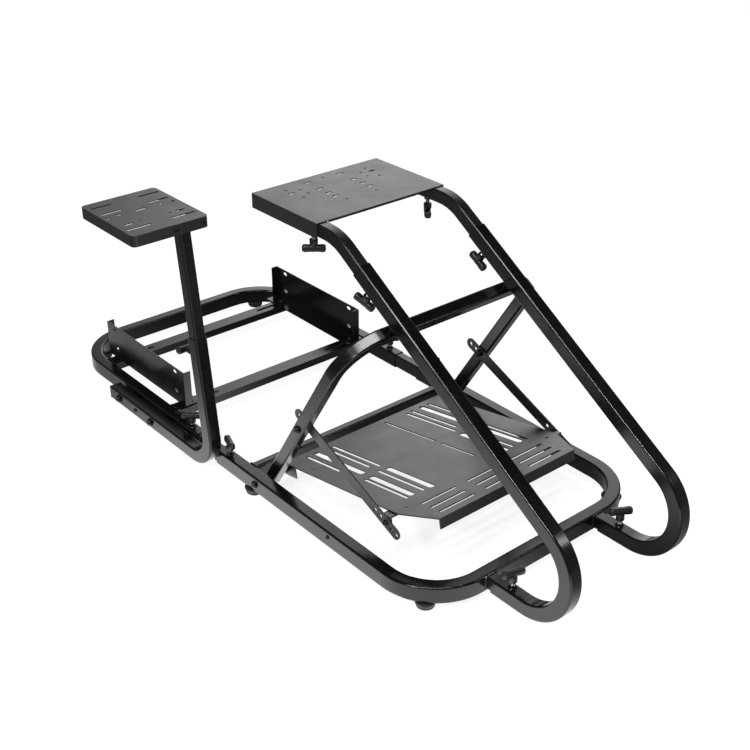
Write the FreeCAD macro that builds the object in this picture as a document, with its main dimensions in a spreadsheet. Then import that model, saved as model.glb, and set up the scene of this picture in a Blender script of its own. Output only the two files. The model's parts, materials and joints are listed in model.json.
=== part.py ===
import FreeCAD, Part
import math
import os
import re
import Sketcher

# A sim racing cockpit: an open frame of bent rectangular tube in two telescoping halves.
# X points forward, to the wheel loops' tips, Y to the driver's left and Z up from the floor.
# Sizes are millimetres; the sheet's positions along X count from the middle cross tube.

vec = FreeCAD.Vector
doc = FreeCAD.newDocument("cockpit")
sheet = doc.addObject("Spreadsheet::Sheet", "Dims")

DRIVING_SIZES = [
    ("foot_height", 14, "rubber foot, floor to tube"),
    ("foot_radius", 21, "rubber foot at the tube"),
    ("foot_taper", 3, "how much narrower the foot is at the floor"),
    ("front_foot_turn", 50, "degrees round the front bends, from straight ahead, to the feet"),
    ("rear_foot_turn", 32, "degrees round the rear bends, from straight behind, to the feet"),
    ("tube_width", 28, "base tube across"),
    ("tube_height", 36, "base tube upright"),
    ("tube_wall", 1.5, "wall of every tube"),
    ("tube_corner", 4, "outside corner radius of every tube"),
    ("slide_gap", 0.3, "gap on each side of a tube that slides in another"),
    ("frame_width", 570, "rail centre to rail centre"),
    ("bend_radius", 117, "centre line of the base bends"),
    ("front_reach", 562, "cross tube to front tube"),
    ("front_tail", 100, "front rails behind the cross tube"),
    ("rear_reach", 727, "cross tube back to the rear tube"),
    ("rail_gap", 78, "bare length between the two halves"),
    ("extension_grip", 170, "extension tube inside each rail"),
    ("cross_depth", 20, "middle cross tube along X"),
    ("seat_rail_width", 36, "slotted seat rail along X"),
    ("seat_rail_height", 18, "slotted seat rail upright"),
    ("seat_rail_wall", 2, "sheet of the seat rails"),
    ("seat_rail_inset", 136, "rear seat rail in front of the rear tube"),
    ("seat_rail_pitch", 286, "seat rail to seat rail"),
    ("seat_slot_length", 60, "adjusting slot in a seat rail"),
    ("seat_slot_width", 9, "adjusting slot across"),
    ("seat_side_gap", 19, "rail to seat bracket wall"),
    ("bracket_length", 340, "seat bracket along X"),
    ("bracket_back", 13, "seat brackets' middle behind the seat rails' middle"),
    ("bracket_rise", 86, "seat bracket wall"),
    ("bracket_flange", 38, "seat bracket base across"),
    ("bracket_return", 18, "seat bracket folded ends"),
    ("bracket_sheet", 2.5, "seat bracket sheet"),
    ("bracket_hole_pitch", 264, "seat bolt slots along X"),
    ("bracket_hole_low", 27, "lower bolt slots above the seat rails"),
    ("bracket_hole_rise", 49, "lower to upper bolt slots"),
    ("bracket_slot_length", 16, "seat bolt slot"),
    ("bracket_slot_width", 8.4, "seat bolt slot across"),
    ("post_width", 29, "wheel post tube across"),
    ("post_depth", 31, "wheel post tube in its own plane"),
    ("post_spacing", 294, "wheel post to wheel post"),
    ("post_arm_back", 590, "rear end of a post's lower arm"),
    ("post_arm_run", 74, "lower arm before its bend"),
    ("post_bend", 96, "centre line of the post's bend"),
    ("post_slope", 32.1, "degrees that the posts lean from level"),
    ("post_run", 600, "sloping sleeve"),
    ("stub_grip", 50, "stub tube inside a lower arm"),
    ("wheel_rise", 80, "along the slope, sleeve end to the wheel arm's corner"),
    ("wheel_grip", 210, "wheel arm inside its sleeve"),
    ("wheel_bend", 110, "centre line of the wheel arm's bend"),
    ("wheel_arm_reach", 243, "level arm, rear end to corner"),
    ("wheel_plate_depth", 211, "wheel plate along X"),
    ("wheel_plate_back", 46, "plate's front edge behind the corner"),
    ("wheel_plate_sheet", 2, "wheel plate sheet"),
    ("wheel_plate_skirt", 29, "wheel plate's folded sides"),
    ("wheel_plate_lip", 3, "wheel plate's folded front"),
    ("hoop_width", 24, "support hoop tube across"),
    ("hoop_depth", 26, "support hoop tube along the posts"),
    ("hoop_bend", 82, "centre line of the hoop's bends"),
    ("hoop_ahead", 35.5, "middle of the hoop's feet in front of the cross tube"),
    ("hoop_leg_low", 4, "lowest corner of the hoop above the rails' undersides"),
    ("hoop_spacer", 10, "spacer between a rail and the hoop's leg"),
    ("hoop_spacer_radius", 9, "spacers at the hoop's legs and bar"),
    ("hoop_top_gap", 13.5, "spacer between a wheel post and the hoop's bar"),
    ("hoop_bolt_up", 10, "foot bolt along the hoop leg, above the foot"),
    ("pedal_side_gap", 18, "hoop's leg to the pedal plate"),
    ("pedal_length", 446, "pedal plate along its slope"),
    ("pedal_tilt", 10.5, "degrees that the pedal plate rises forward"),
    ("pedal_sheet", 2.5, "pedal plate sheet"),
    ("pedal_lip", 20, "pedal plate's folded front"),
    ("pedal_corner_side", 36, "cut front corner across"),
    ("pedal_corner_length", 78, "cut front corner along the plate"),
    ("pedal_corner_radius", 24, "rounding where a cut corner meets its side"),
    ("pedal_ear_length", 40, "pivot ear along the plate"),
    ("pedal_ear_drop", 24, "pivot ear below the plate"),
    ("pedal_pivot_ahead", 8, "pivot from the plate's rear edge"),
    ("pedal_pivot_drop", 10.5, "pivot below the plate's underside"),
    ("pivot_up", 17.3, "pivot along the hoop leg, above the foot"),
    ("pivot_radius", 6.5, "pivot bush"),
    ("link_width", 24, "flat link across"),
    ("link_sheet", 3, "flat link"),
    ("link_bolt_up", 207, "link bolt along the hoop leg, above the foot"),
    ("link_behind", 42, "link behind its bolt"),
    ("link_ahead", 41, "link in front of the lug's bolt"),
    ("link_hole_radius", 4, "holes in the links"),
    ("link_hole_pitch", 16.5, "adjusting holes, one to the next"),
    ("lug_width", 26, "pedal lug along the plate"),
    ("lug_sheet", 3, "pedal lug"),
    ("lug_ahead", 352, "pedal lug from the plate's rear edge"),
    ("lug_drop", 26, "pedal lug below the plate"),
    ("lug_bolt_drop", 14, "lug's bolt below the plate"),
    ("shifter_spacer", 5.5, "spacer between rail and shifter arm"),
    ("shifter_spacer_side", 30, "spacer along the rail"),
    ("shifter_bolt_first", 38, "first arm bolt from the arm's rear end"),
    ("shifter_bolt_pitch", 137, "arm bolt to arm bolt"),
    ("shifter_back", 489, "shifter arm's rear end behind the cross tube"),
    ("shifter_corner_back", 73, "shifter arm's corner behind the cross tube"),
    ("shifter_bend", 60, "centre line of the shifter arm's bend"),
    ("shifter_lean", 6.6, "degrees that the shifter post leans back"),
    ("shifter_sleeve", 225, "upright sleeve above the bend"),
    ("shifter_grip", 115, "shifter post inside its sleeve"),
    ("shifter_rise", 246, "shifter post above its sleeve"),
    ("shifter_plate_length", 203, "shifter plate along X"),
    ("shifter_plate_width", 170, "shifter plate across"),
    ("shifter_plate_out", 32, "shifter plate's centre outside its post"),
    ("shifter_plate_ahead", 5.5, "plate's front edge in front of its post"),
    ("shifter_plate_sheet", 2, "shifter plate sheet"),
    ("shifter_plate_skirt", 21, "shifter plate's folded rim"),
    ("shifter_plate_corner", 10, "shifter plate corner radius"),
    ("mount_slot_width", 6, "wheel and shifter bolt slots across"),
    ("knob_length", 44, "handle of a clamp knob"),
    ("knob_width", 13, "handle of a clamp knob across"),
    ("knob_height", 14, "handle of a clamp knob"),
    ("knob_end_radius", 4, "rounding of a handle's ends"),
    ("knob_hub_radius", 8.5, "hub of a clamp knob"),
    ("knob_hub_height", 9, "hub of a clamp knob"),
    ("knob_stud_radius", 4, "bare stud of a clamp knob"),
    ("knob_stud_height", 18, "bare stud of a clamp knob"),
    ("rail_stud_height", 12, "bare stud of a rail's clamp knob"),
    ("rail_knob_inset", 34, "rail knobs from the rails' ends"),
    ("arm_knob_inset", 40, "post arm knobs from the arms' rear ends"),
    ("sleeve_knob_inset", 41, "sleeve knobs from the sleeves' ends"),
    ("plate_knob_inset", 30, "wheel plate knobs behind the plate's front edge"),
    ("shifter_knob_inset", 37, "shifter knob below its sleeve's end"),
    ("cap_depth", 4, "plastic cap on the shifter arm's rear end"),
]

WORKED_OUT_SIZES = [
    ("half_width", "frame_width / 2"),
    ("rail_outside", "half_width + tube_width / 2"),
    ("rail_inside", "half_width - tube_width / 2"),
    ("rail_middle", "foot_height + tube_height / 2"),
    ("rail_top", "foot_height + tube_height"),
    ("inner_width", "tube_width - 2 * (tube_wall + slide_gap)"),
    ("inner_height", "tube_height - 2 * (tube_wall + slide_gap)"),
    ("front_rail_run", "front_tail + front_reach - bend_radius"),
    ("cross_run", "frame_width - 2 * bend_radius"),
    ("rear_front_end", "front_tail + rail_gap"),
    ("rear_rail_run", "rear_reach - rear_front_end - bend_radius"),
    ("rear_end", "rear_reach + tube_width / 2"),
    ("seat_rail_back", "rear_reach - seat_rail_inset"),
    ("seat_half", "rail_inside - seat_side_gap"),
    ("extension_run", "rail_gap + 2 * extension_grip"),
    ("arm_width", "post_width - 2 * (tube_wall + slide_gap)"),
    ("arm_depth", "post_depth - 2 * (tube_wall + slide_gap)"),
    ("post_half_spacing", "post_spacing / 2"),
    ("post_arm_middle", "rail_top - post_depth / 2"),
    ("post_bend_x", "post_arm_back + post_arm_run"),
    ("post_tip", "post_bend_x + post_bend + post_depth / 2"),
    ("slope_cos", "cos(post_slope * 1 deg)"),
    ("slope_sin", "sin(post_slope * 1 deg)"),
    ("post_heading", "180 - post_slope"),
    ("sleeve_end_x", "post_bend_x + post_bend * slope_sin - post_run * slope_cos"),
    ("sleeve_end_z",
     "post_arm_middle + post_bend * (1 + slope_cos) + post_run * slope_sin"),
    ("stub_run", "post_arm_back - front_reach - tube_width / 2 + stub_grip"),
    ("wheel_corner_x", "sleeve_end_x - wheel_rise * slope_cos"),
    ("wheel_corner_z", "sleeve_end_z + wheel_rise * slope_sin"),
    ("wheel_tangent", "wheel_bend * tan(post_slope * 0.5 deg)"),
    ("wheel_level_run", "wheel_arm_reach - wheel_tangent"),
    ("wheel_slope_run", "wheel_rise + wheel_grip - wheel_tangent"),
    ("wheel_heading", "0 - post_slope"),
    ("wheel_plate_front", "wheel_corner_x - wheel_plate_back"),
    ("wheel_plate_width", "post_spacing + arm_width + 2 * (slide_gap + wheel_plate_sheet)"),
    ("wheel_plate_under", "wheel_corner_z + arm_depth / 2"),
    ("hoop_outside", "rail_inside - hoop_spacer"),
    ("hoop_inside", "hoop_outside - hoop_width"),
    ("hoop_half", "hoop_outside - hoop_width / 2"),
    ("hoop_foot_x", "hoop_ahead"),
    ("hoop_foot_z", "foot_height + hoop_leg_low + hoop_depth / 2 * slope_sin"),
    ("hoop_rise",
     "(sleeve_end_x - hoop_foot_x) * slope_sin + (sleeve_end_z - hoop_foot_z) * slope_cos"),
    ("hoop_length", "hoop_rise - post_depth / 2 - hoop_top_gap"),
    ("hoop_leg_run", "hoop_length - hoop_width / 2 - hoop_bend"),
    ("hoop_top_run", "2 * (hoop_half - hoop_bend)"),
    ("hoop_bolt_x", "hoop_foot_x + hoop_bolt_up * slope_sin"),
    ("hoop_bolt_z", "hoop_foot_z + hoop_bolt_up * slope_cos"),
    ("pedal_half", "hoop_inside - pedal_side_gap"),
    ("pedal_cos", "cos(pedal_tilt * 1 deg)"),
    ("pedal_sin", "sin(pedal_tilt * 1 deg)"),
    ("pivot_x", "hoop_foot_x + pivot_up * slope_sin"),
    ("pivot_z", "hoop_foot_z + pivot_up * slope_cos"),
    ("pedal_back", "pivot_x - pedal_pivot_ahead * pedal_cos - pedal_pivot_drop * pedal_sin"),
    ("pedal_z", "pivot_z - pedal_pivot_ahead * pedal_sin + pedal_pivot_drop * pedal_cos"),
    ("lug_x", "pedal_back + lug_ahead * pedal_cos"),
    ("lug_z", "pedal_z + lug_ahead * pedal_sin"),
    ("link_inside", "hoop_inside - link_sheet"),
    ("link_x", "hoop_foot_x + link_bolt_up * slope_sin"),
    ("link_z", "hoop_foot_z + link_bolt_up * slope_cos"),
    ("link_run_x", "lug_x + lug_bolt_drop * pedal_sin - link_x"),
    ("link_fall", "link_z - lug_z + lug_bolt_drop * pedal_cos"),
    ("link_reach", "sqrt(link_run_x * link_run_x + link_fall * link_fall)"),
    ("link_angle", "atan(link_fall / link_run_x) / 1 deg"),
    ("link_hole_first", "link_reach - 2 * link_hole_pitch"),
    ("shifter_depth", "post_depth"),
    ("shifter_width", "post_width"),
    ("shifter_y", "rail_outside + shifter_spacer + shifter_width / 2"),
    ("shifter_turn", "90 + shifter_lean"),
    ("shifter_tangent", "shifter_bend * tan(shifter_turn * 0.5 deg)"),
    ("shifter_arm_run", "shifter_back - shifter_corner_back - shifter_tangent"),
    ("lean_cos", "cos(shifter_lean * 1 deg)"),
    ("lean_sin", "sin(shifter_lean * 1 deg)"),
    ("shifter_up", "shifter_tangent + shifter_sleeve"),
    ("shifter_post_low", "shifter_up - shifter_grip"),
    ("shifter_post_run", "shifter_grip + shifter_rise"),
    ("shifter_post_top", "shifter_post_low + shifter_post_run"),
    ("shifter_plate_under", "rail_middle + shifter_post_top * lean_cos"),
    ("shifter_post_x", "0 - shifter_corner_back - shifter_post_top * lean_sin"),
    ("shifter_plate_front", "shifter_post_x + arm_depth / lean_cos / 2 + shifter_plate_ahead"),
    ("shifter_plate_y", "shifter_y + shifter_plate_out"),
    ("right_reach", "shifter_plate_y + shifter_plate_width / 2"),
    ("origin_x", "(post_tip - rear_end) / 2"),
    ("origin_y", "(rail_outside - right_reach) / 2"),
]

ALIASES = {name for name, *_ in DRIVING_SIZES} | {name for name, _ in WORKED_OUT_SIZES}


def formula(text, prefix="Dims."):
    """The text with every size's name led by the prefix."""
    return re.sub(r"[A-Za-z_]+", lambda w: prefix + w.group() if w.group() in ALIASES else w.group(), text)


def fill_sheet():
    """Writes the driving sizes as plain numbers and the worked-out ones as formulas."""
    for row, (name, number, note) in enumerate(DRIVING_SIZES, 1):
        sheet.set(f"A{row}", name)
        sheet.set(f"B{row}", str(number))
        sheet.set(f"C{row}", note)
        sheet.setAlias(f"B{row}", name)
    for row, (name, text) in enumerate(WORKED_OUT_SIZES, len(DRIVING_SIZES) + 2):
        sheet.set(f"A{row}", name)
        sheet.set(f"B{row}", "=" + text)
        sheet.setAlias(f"B{row}", name)
    doc.recompute()


def size(name):
    """A size's number, for a shape's first guess and for counts."""
    return float(sheet.get(name)) if name in ALIASES else float(name)


def bind(item, prop, text):
    """Ties a property to a formula in the sheet's names."""
    item.setExpression(prop, formula(text))


def place(item, x="0", y="0", z="0", turn=None, axis=vec(0, 1, 0)):
    """Puts a piece at a point of the cockpit, turned by a formula's degrees about an axis."""
    if turn is not None:
        item.Placement = FreeCAD.Placement(vec(), FreeCAD.Rotation(axis, 30))
        bind(item, "Placement.Rotation.Angle", turn)
    bind(item, "Placement.Base.x", f"{x} - origin_x")
    bind(item, "Placement.Base.y", f"{y} - origin_y")
    bind(item, "Placement.Base.z", z)


def new_body(label):
    """An empty body with that label."""
    body = doc.addObject("PartDesign::Body", label)
    body.Label = label
    return body


def new_sketch(body, name, role, lift=None):
    """A sketch on one of the body's own origin planes, lifted along its normal by a formula."""
    sketch = body.newObject("Sketcher::SketchObject", name)
    plane = next(f for f in body.Origin.OriginFeatures if f.Role == role)
    sketch.AttachmentSupport = [(plane, "")]
    sketch.MapMode = "FlatFace"
    if lift is not None:
        bind(sketch, "AttachmentOffset.Base.z", lift)
    return sketch


def hold(sketch, name, text, *constraint):
    """Adds a measured constraint, named, with its value tied to a formula."""
    index = sketch.addConstraint(Sketcher.Constraint(*constraint))
    sketch.renameConstraint(index, name)
    bind(sketch, f"Constraints.{name}", text)


def spine(body, role, steps):
    """A path of straight runs and tangent bends from the body's origin.

    A step is (heading in degrees, length of the run, radius of the bend before it or None).
    """
    sketch = new_sketch(body, "Spine", role)
    x, y, last, line = 0.0, 0.0, 0.0, None
    for number, (heading, run, radius) in enumerate(steps):
        angle = math.radians(size(heading))
        arc = None
        if radius is not None:
            turn = (angle - last + math.pi) % (2 * math.pi) - math.pi
            side = math.copysign(1, turn)
            r = size(radius)
            centre = vec(x - side * r * math.sin(last), y + side * r * math.cos(last), 0)
            begin = last - side * math.pi / 2
            end = begin + turn
            circle = Part.Circle(centre, vec(0, 0, 1), r)
            arc = sketch.addGeometry(Part.ArcOfCircle(circle, min(begin, end), max(begin, end)))
            enter, leave = (1, 2) if side > 0 else (2, 1)
            sketch.addConstraint(Sketcher.Constraint("Tangent", line, 2, arc, enter))
            hold(sketch, f"bend_{number}", radius, "Radius", arc, r)
            x = centre.x + r * math.cos(end)
            y = centre.y + r * math.sin(end)
        reach = vec(x + size(run) * math.cos(angle), y + size(run) * math.sin(angle), 0)
        line = sketch.addGeometry(Part.LineSegment(vec(x, y, 0), reach))
        if arc is None:
            sketch.addConstraint(Sketcher.Constraint("Coincident", line, 1, -1, 1))
        else:
            sketch.addConstraint(Sketcher.Constraint("Tangent", arc, leave, line, 1))
        hold(sketch, f"heading_{number}", f"{heading} * 1 deg", "Angle", line, angle)
        hold(sketch, f"run_{number}", run, "Distance", line, size(run))
        x, y, last = reach.x, reach.y, angle
    return sketch


def box_loop(sketch, tag, across, upright):
    """A rectangle about the sketch's origin, its half sizes tied to two formulas' aliases."""
    a, b = size_of(across), size_of(upright)
    corners = [vec(-a, -b, 0), vec(a, -b, 0), vec(a, b, 0), vec(-a, b, 0)]
    lines = [sketch.addGeometry(Part.LineSegment(corners[i], corners[(i + 1) % 4])) for i in range(4)]
    for i in range(4):
        sketch.addConstraint(Sketcher.Constraint("Coincident", lines[i], 2, lines[(i + 1) % 4], 1))
        sketch.addConstraint(Sketcher.Constraint("Horizontal" if i % 2 == 0 else "Vertical", lines[i]))
    hold(sketch, tag + "_left", across, "DistanceX", lines[3], 1, -1, 1, a)
    hold(sketch, tag + "_right", across, "DistanceX", -1, 1, lines[1], 1, a)
    hold(sketch, tag + "_low", upright, "DistanceY", lines[0], 1, -1, 1, b)
    hold(sketch, tag + "_high", upright, "DistanceY", -1, 1, lines[2], 1, b)
    return lines


def size_of(text):
    """The number that a formula in the sheet's names gives."""
    names = {n: size(n) for n in ALIASES if re.search(rf"\b{n}\b", text)}
    total = FreeCAD.Units.Quantity(re.sub(r"[A-Za-z_]+", lambda w: repr(names[w.group()]), text))
    return float(total.Value)


def tube_profile(body, role, across, upright):
    """A hollow rounded rectangle: outside sizes from two formulas, wall and corner from the sheet."""
    sketch = new_sketch(body, "Section", role)
    a, b, r = size_of(across) / 2, size_of(upright) / 2, size("tube_corner")
    ends = [vec(-a + r, -b, 0), vec(a - r, -b, 0), vec(a, -b + r, 0), vec(a, b - r, 0),
            vec(a - r, b, 0), vec(-a + r, b, 0), vec(-a, b - r, 0), vec(-a, -b + r, 0)]
    centres = [vec(a - r, -b + r, 0), vec(a - r, b - r, 0), vec(-a + r, b - r, 0), vec(-a + r, -b + r, 0)]
    lines = [sketch.addGeometry(Part.LineSegment(ends[2 * i], ends[2 * i + 1])) for i in range(4)]
    arcs = []
    for i, centre in enumerate(centres):
        begin = (i - 1) * math.pi / 2
        arc = Part.ArcOfCircle(Part.Circle(centre, vec(0, 0, 1), r), begin, begin + math.pi / 2)
        arcs.append(sketch.addGeometry(arc))
    for i in range(4):
        sketch.addConstraint(Sketcher.Constraint("Tangent", lines[i], 2, arcs[i], 1))
        sketch.addConstraint(Sketcher.Constraint("Tangent", arcs[i], 2, lines[(i + 1) % 4], 1))
        sketch.addConstraint(Sketcher.Constraint("Horizontal" if i % 2 == 0 else "Vertical", lines[i]))
        if i:
            sketch.addConstraint(Sketcher.Constraint("Equal", arcs[0], arcs[i]))
    hold(sketch, "corner", "tube_corner", "Radius", arcs[0], r)
    hold(sketch, "outer_left", f"({across}) / 2", "DistanceX", lines[3], 1, -1, 1, a)
    hold(sketch, "outer_right", f"({across}) / 2", "DistanceX", -1, 1, lines[1], 1, a)
    hold(sketch, "outer_low", f"({upright}) / 2", "DistanceY", lines[0], 1, -1, 1, b)
    hold(sketch, "outer_high", f"({upright}) / 2", "DistanceY", -1, 1, lines[2], 1, b)
    box_loop(sketch, "inner", f"({across}) / 2 - tube_wall", f"({upright}) / 2 - tube_wall")
    return sketch


def bent_tube(label, across, upright, spine_role, profile_role, steps):
    """A hollow tube along a path of runs and bends."""
    body = new_body(label)
    path = spine(body, spine_role, steps)
    profile = tube_profile(body, profile_role, across, upright)
    doc.recompute()
    pipe = body.newObject("PartDesign::AdditivePipe", "Tube")
    pipe.Profile = profile
    pipe.Spine = path
    return body


def straight_tube(label, across, upright, role, run):
    """A hollow straight tube along a plane's normal."""
    body = new_body(label)
    pad = body.newObject("PartDesign::Pad", "Tube")
    pad.Profile = tube_profile(body, role, across, upright)
    bind(pad, "Length", run)
    return body


def outline(sketch, points):
    """A closed outline through points given as pairs of formulas; each corner is tied to its pair."""
    spots = [vec(size_of(u), size_of(v), 0) for u, v in points]
    count = len(points)
    lines = [sketch.addGeometry(Part.LineSegment(spots[i], spots[(i + 1) % count])) for i in range(count)]
    for i, (u, v) in enumerate(points):
        sketch.addConstraint(Sketcher.Constraint("Coincident", lines[i - 1], 2, lines[i], 1))
        for letter, text, spot in (("x", u, spots[i].x), ("y", v, spots[i].y)):
            kind = "DistanceX" if letter == "x" else "DistanceY"
            if abs(spot) < 1e-9:
                axis = -2 if letter == "x" else -1
                sketch.addConstraint(Sketcher.Constraint("PointOnObject", lines[i], 1, axis))
            elif spot > 0:
                hold(sketch, f"{letter}{i}", text, kind, -1, 1, lines[i], 1, spot)
            else:
                hold(sketch, f"{letter}{i}", f"0 - ({text})", kind, lines[i], 1, -1, 1, -spot)


def pad_outline(body, name, role, points, depth, lift=None, reverse=False, middle=False):
    """Pads a closed outline."""
    sketch = new_sketch(body, name + "Outline", role, lift)
    outline(sketch, points)
    pad = body.newObject("PartDesign::Pad", name)
    pad.Profile = sketch
    pad.Reversed = reverse
    pad.Midplane = middle
    bind(pad, "Length", depth)
    return pad


def rectangle(low_u, high_u, low_v, high_v):
    """The four corners of a rectangle as pairs of formulas."""
    return [(low_u, low_v), (high_u, low_v), (high_u, high_v), (low_u, high_v)]


def cut_holes(body, name, role, holes, lift=None):
    """Cuts round holes and slots right through: (u, v, slot length, width, slot along v)."""
    sketch = new_sketch(body, name + "Outline", role, lift)
    for u, v, length, width, along_v in holes:
        r = width / 2
        half = max(length / 2 - r, 0)
        if half < 0.01:
            sketch.addGeometry(Part.Circle(vec(u, v, 0), vec(0, 0, 1), r))
            continue
        lean = math.pi / 2 if along_v else 0
        along = vec(math.cos(lean), math.sin(lean), 0)
        side = vec(-math.sin(lean), math.cos(lean), 0)
        middle = vec(u, v, 0)
        far, near = middle + along * half, middle - along * half
        quarter = math.pi / 2
        far_arc = Part.ArcOfCircle(Part.Circle(far, vec(0, 0, 1), r), lean - quarter, lean + quarter)
        near_arc = Part.ArcOfCircle(Part.Circle(near, vec(0, 0, 1), r), lean + quarter, lean + 3 * quarter)
        sketch.addGeometry(far_arc)
        sketch.addGeometry(Part.LineSegment(far + side * r, near + side * r))
        sketch.addGeometry(near_arc)
        sketch.addGeometry(Part.LineSegment(near - side * r, far - side * r))
    doc.recompute()
    before = body.Shape.Volume
    pocket = body.newObject("PartDesign::Pocket", name)
    pocket.Profile = sketch
    pocket.Type = "ThroughAll"
    pocket.Midplane = True
    doc.recompute()
    if not body.Shape.Volume < before:
        raise RuntimeError(f"{body.Label}: {name} cut nothing")
    return pocket


def round_edges(body, name, picks, radius):
    """Rounds the edges of the body's last feature whose middles pass the test."""
    doc.recompute()
    base = body.Tip
    names = [f"Edge{i}" for i, edge in enumerate(base.Shape.Edges, 1) if picks(edge)]
    fillet = body.newObject("PartDesign::Fillet", name)
    fillet.Base = (base, names)
    bind(fillet, "Radius", radius)
    return fillet


def upright_at(edge, u, v):
    """Whether an edge runs along the body's Z at (u, v) or at its mirror image across X."""
    middle = edge.CenterOfMass
    straight = abs(edge.tangentAt(edge.FirstParameter).z) > 0.99
    return straight and abs(abs(middle.x) - u) < 0.01 and abs(abs(middle.y) - v) < 0.01


def group(label, members):
    """One node of like pieces that don't touch."""
    compound = doc.addObject("Part::Compound", label)
    compound.Label = label
    compound.Links = members
    return compound


def mirrored_slots(rows, width):
    """Slots across the plate at both sides of its middle, from (u, v, length) rows."""
    return [(u, sign * v, length, width, True) for u, v, length in rows for sign in ((1, -1) if v else (1,))]


fill_sheet()
nodes = []

# Base: two bent halves, the tubes that join them and the feet.

rear_base = bent_tube("rear_base_tube", "tube_width", "tube_height", "XY_Plane", "YZ_Plane", [
    ("180", "rear_rail_run", None),
    ("-90", "cross_run", "bend_radius"),
    ("0", "rear_rail_run", "bend_radius"),
])
place(rear_base, "0 - rear_front_end", "half_width", "rail_middle")
nodes.append(rear_base)

front_base = bent_tube("front_base_tube", "tube_width", "tube_height", "XY_Plane", "YZ_Plane", [
    ("0", "front_rail_run", None),
    ("-90", "cross_run", "bend_radius"),
    ("180", "front_rail_run", "bend_radius"),
])
place(front_base, "0 - front_tail", "half_width", "rail_middle")
nodes.append(front_base)

for side, sign in (("left", "1"), ("right", "-1")):
    extension = straight_tube(f"extension_tube_{side}", "inner_width", "inner_height", "YZ_Plane",
                              "extension_run")
    place(extension, "0 - rear_front_end - extension_grip", f"{sign} * half_width", "rail_middle")
    nodes.append(extension)

cross = straight_tube("middle_cross_tube", "cross_depth", "tube_height", "XZ_Plane", "2 * rail_inside")
place(cross, "0", "rail_inside", "rail_middle")
nodes.append(cross)


def foot(name, x, y):
    """A tapered rubber foot under a base tube."""
    cone = doc.addObject("Part::Cone", name)
    bind(cone, "Radius1", "foot_radius - foot_taper")
    bind(cone, "Radius2", "foot_radius")
    bind(cone, "Height", "foot_height")
    place(cone, x, y, "0")
    return cone


BEND_Y = "half_width - bend_radius"
FEET = {
    "front_feet": ("front_reach - bend_radius + bend_radius * cos(front_foot_turn * 1 deg)",
                   f"{BEND_Y} + bend_radius * sin(front_foot_turn * 1 deg)"),
    "middle_feet": ("cross_depth", "half_width"),
    "rear_feet": ("bend_radius - rear_reach - bend_radius * cos(rear_foot_turn * 1 deg)",
                  f"{BEND_Y} + bend_radius * sin(rear_foot_turn * 1 deg)"),
}
for label, (x, y) in FEET.items():
    pair = [foot(f"{label}_{i}", x, f"{sign} * ({y})") for i, sign in enumerate(("1", "-1"))]
    nodes.append(group(label, pair))

# Seat: two slotted channels across the rear half and a folded bracket at each side.

RAIL_U, RAIL_V = "seat_rail_width / 2", "seat_rail_height"
for label, back in (("seat_rail_rear", "seat_rail_back"),
                    ("seat_rail_front", "seat_rail_back - seat_rail_pitch")):
    rail = new_body(label)
    pad_outline(rail, "Channel", "XZ_Plane", [
        (f"0 - {RAIL_U}", f"0 - {RAIL_V}"),
        (f"seat_rail_wall - {RAIL_U}", f"0 - {RAIL_V}"),
        (f"seat_rail_wall - {RAIL_U}", "0 - seat_rail_wall"),
        (f"{RAIL_U} - seat_rail_wall", "0 - seat_rail_wall"),
        (f"{RAIL_U} - seat_rail_wall", f"0 - {RAIL_V}"),
        (RAIL_U, f"0 - {RAIL_V}"),
        (RAIL_U, "0"),
        (f"0 - {RAIL_U}", "0"),
    ], "2 * rail_inside", middle=True)
    slot_v = size_of("seat_half - bracket_flange - seat_slot_length / 2")
    slot = (size("seat_slot_length"), size("seat_slot_width"), True)
    cut_holes(rail, "Slots", "XY_Plane", [(0, slot_v, *slot), (0, -slot_v, *slot)])
    place(rail, f"0 - ({back})", "0", "rail_top")
    nodes.append(rail)

BRACKET_HALF = "bracket_length / 2"
for side, sign in (("left", 1), ("right", -1)):
    bracket = new_body(f"seat_bracket_{side}")
    inward = f"{-sign}"
    flange = rectangle(f"0 - {BRACKET_HALF}", BRACKET_HALF, "0", f"{inward} * bracket_flange")
    pad_outline(bracket, "Base", "XY_Plane", flange, "bracket_sheet")
    wall = rectangle(f"0 - {BRACKET_HALF}", BRACKET_HALF, "0", "bracket_rise")
    pad_outline(bracket, "Wall", "XZ_Plane", wall, "bracket_sheet", reverse=sign < 0)
    for end, low, high in (("Rear", f"0 - {BRACKET_HALF}", f"bracket_sheet - {BRACKET_HALF}"),
                           ("Front", f"{BRACKET_HALF} - bracket_sheet", BRACKET_HALF)):
        fold = rectangle(low, high, "0", f"{inward} * bracket_return")
        pad_outline(bracket, end + "Return", "XY_Plane", fold, "bracket_rise")
    pitch = size_of("bracket_hole_pitch / 2")
    rows = [size("bracket_hole_low"), size_of("bracket_hole_low + bracket_hole_rise")]
    slot = (size("bracket_slot_length"), size("bracket_slot_width"), False)
    cut_holes(bracket, "SeatSlots", "XZ_Plane", [(u, v, *slot) for u in (-pitch, pitch) for v in rows])
    place(bracket, "seat_rail_pitch / 2 - seat_rail_back - bracket_back", f"{sign} * seat_half", "rail_top")
    nodes.append(bracket)

# Wheel support: a sloping loop at each side, a hoop under both and the telescoping arms.

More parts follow.
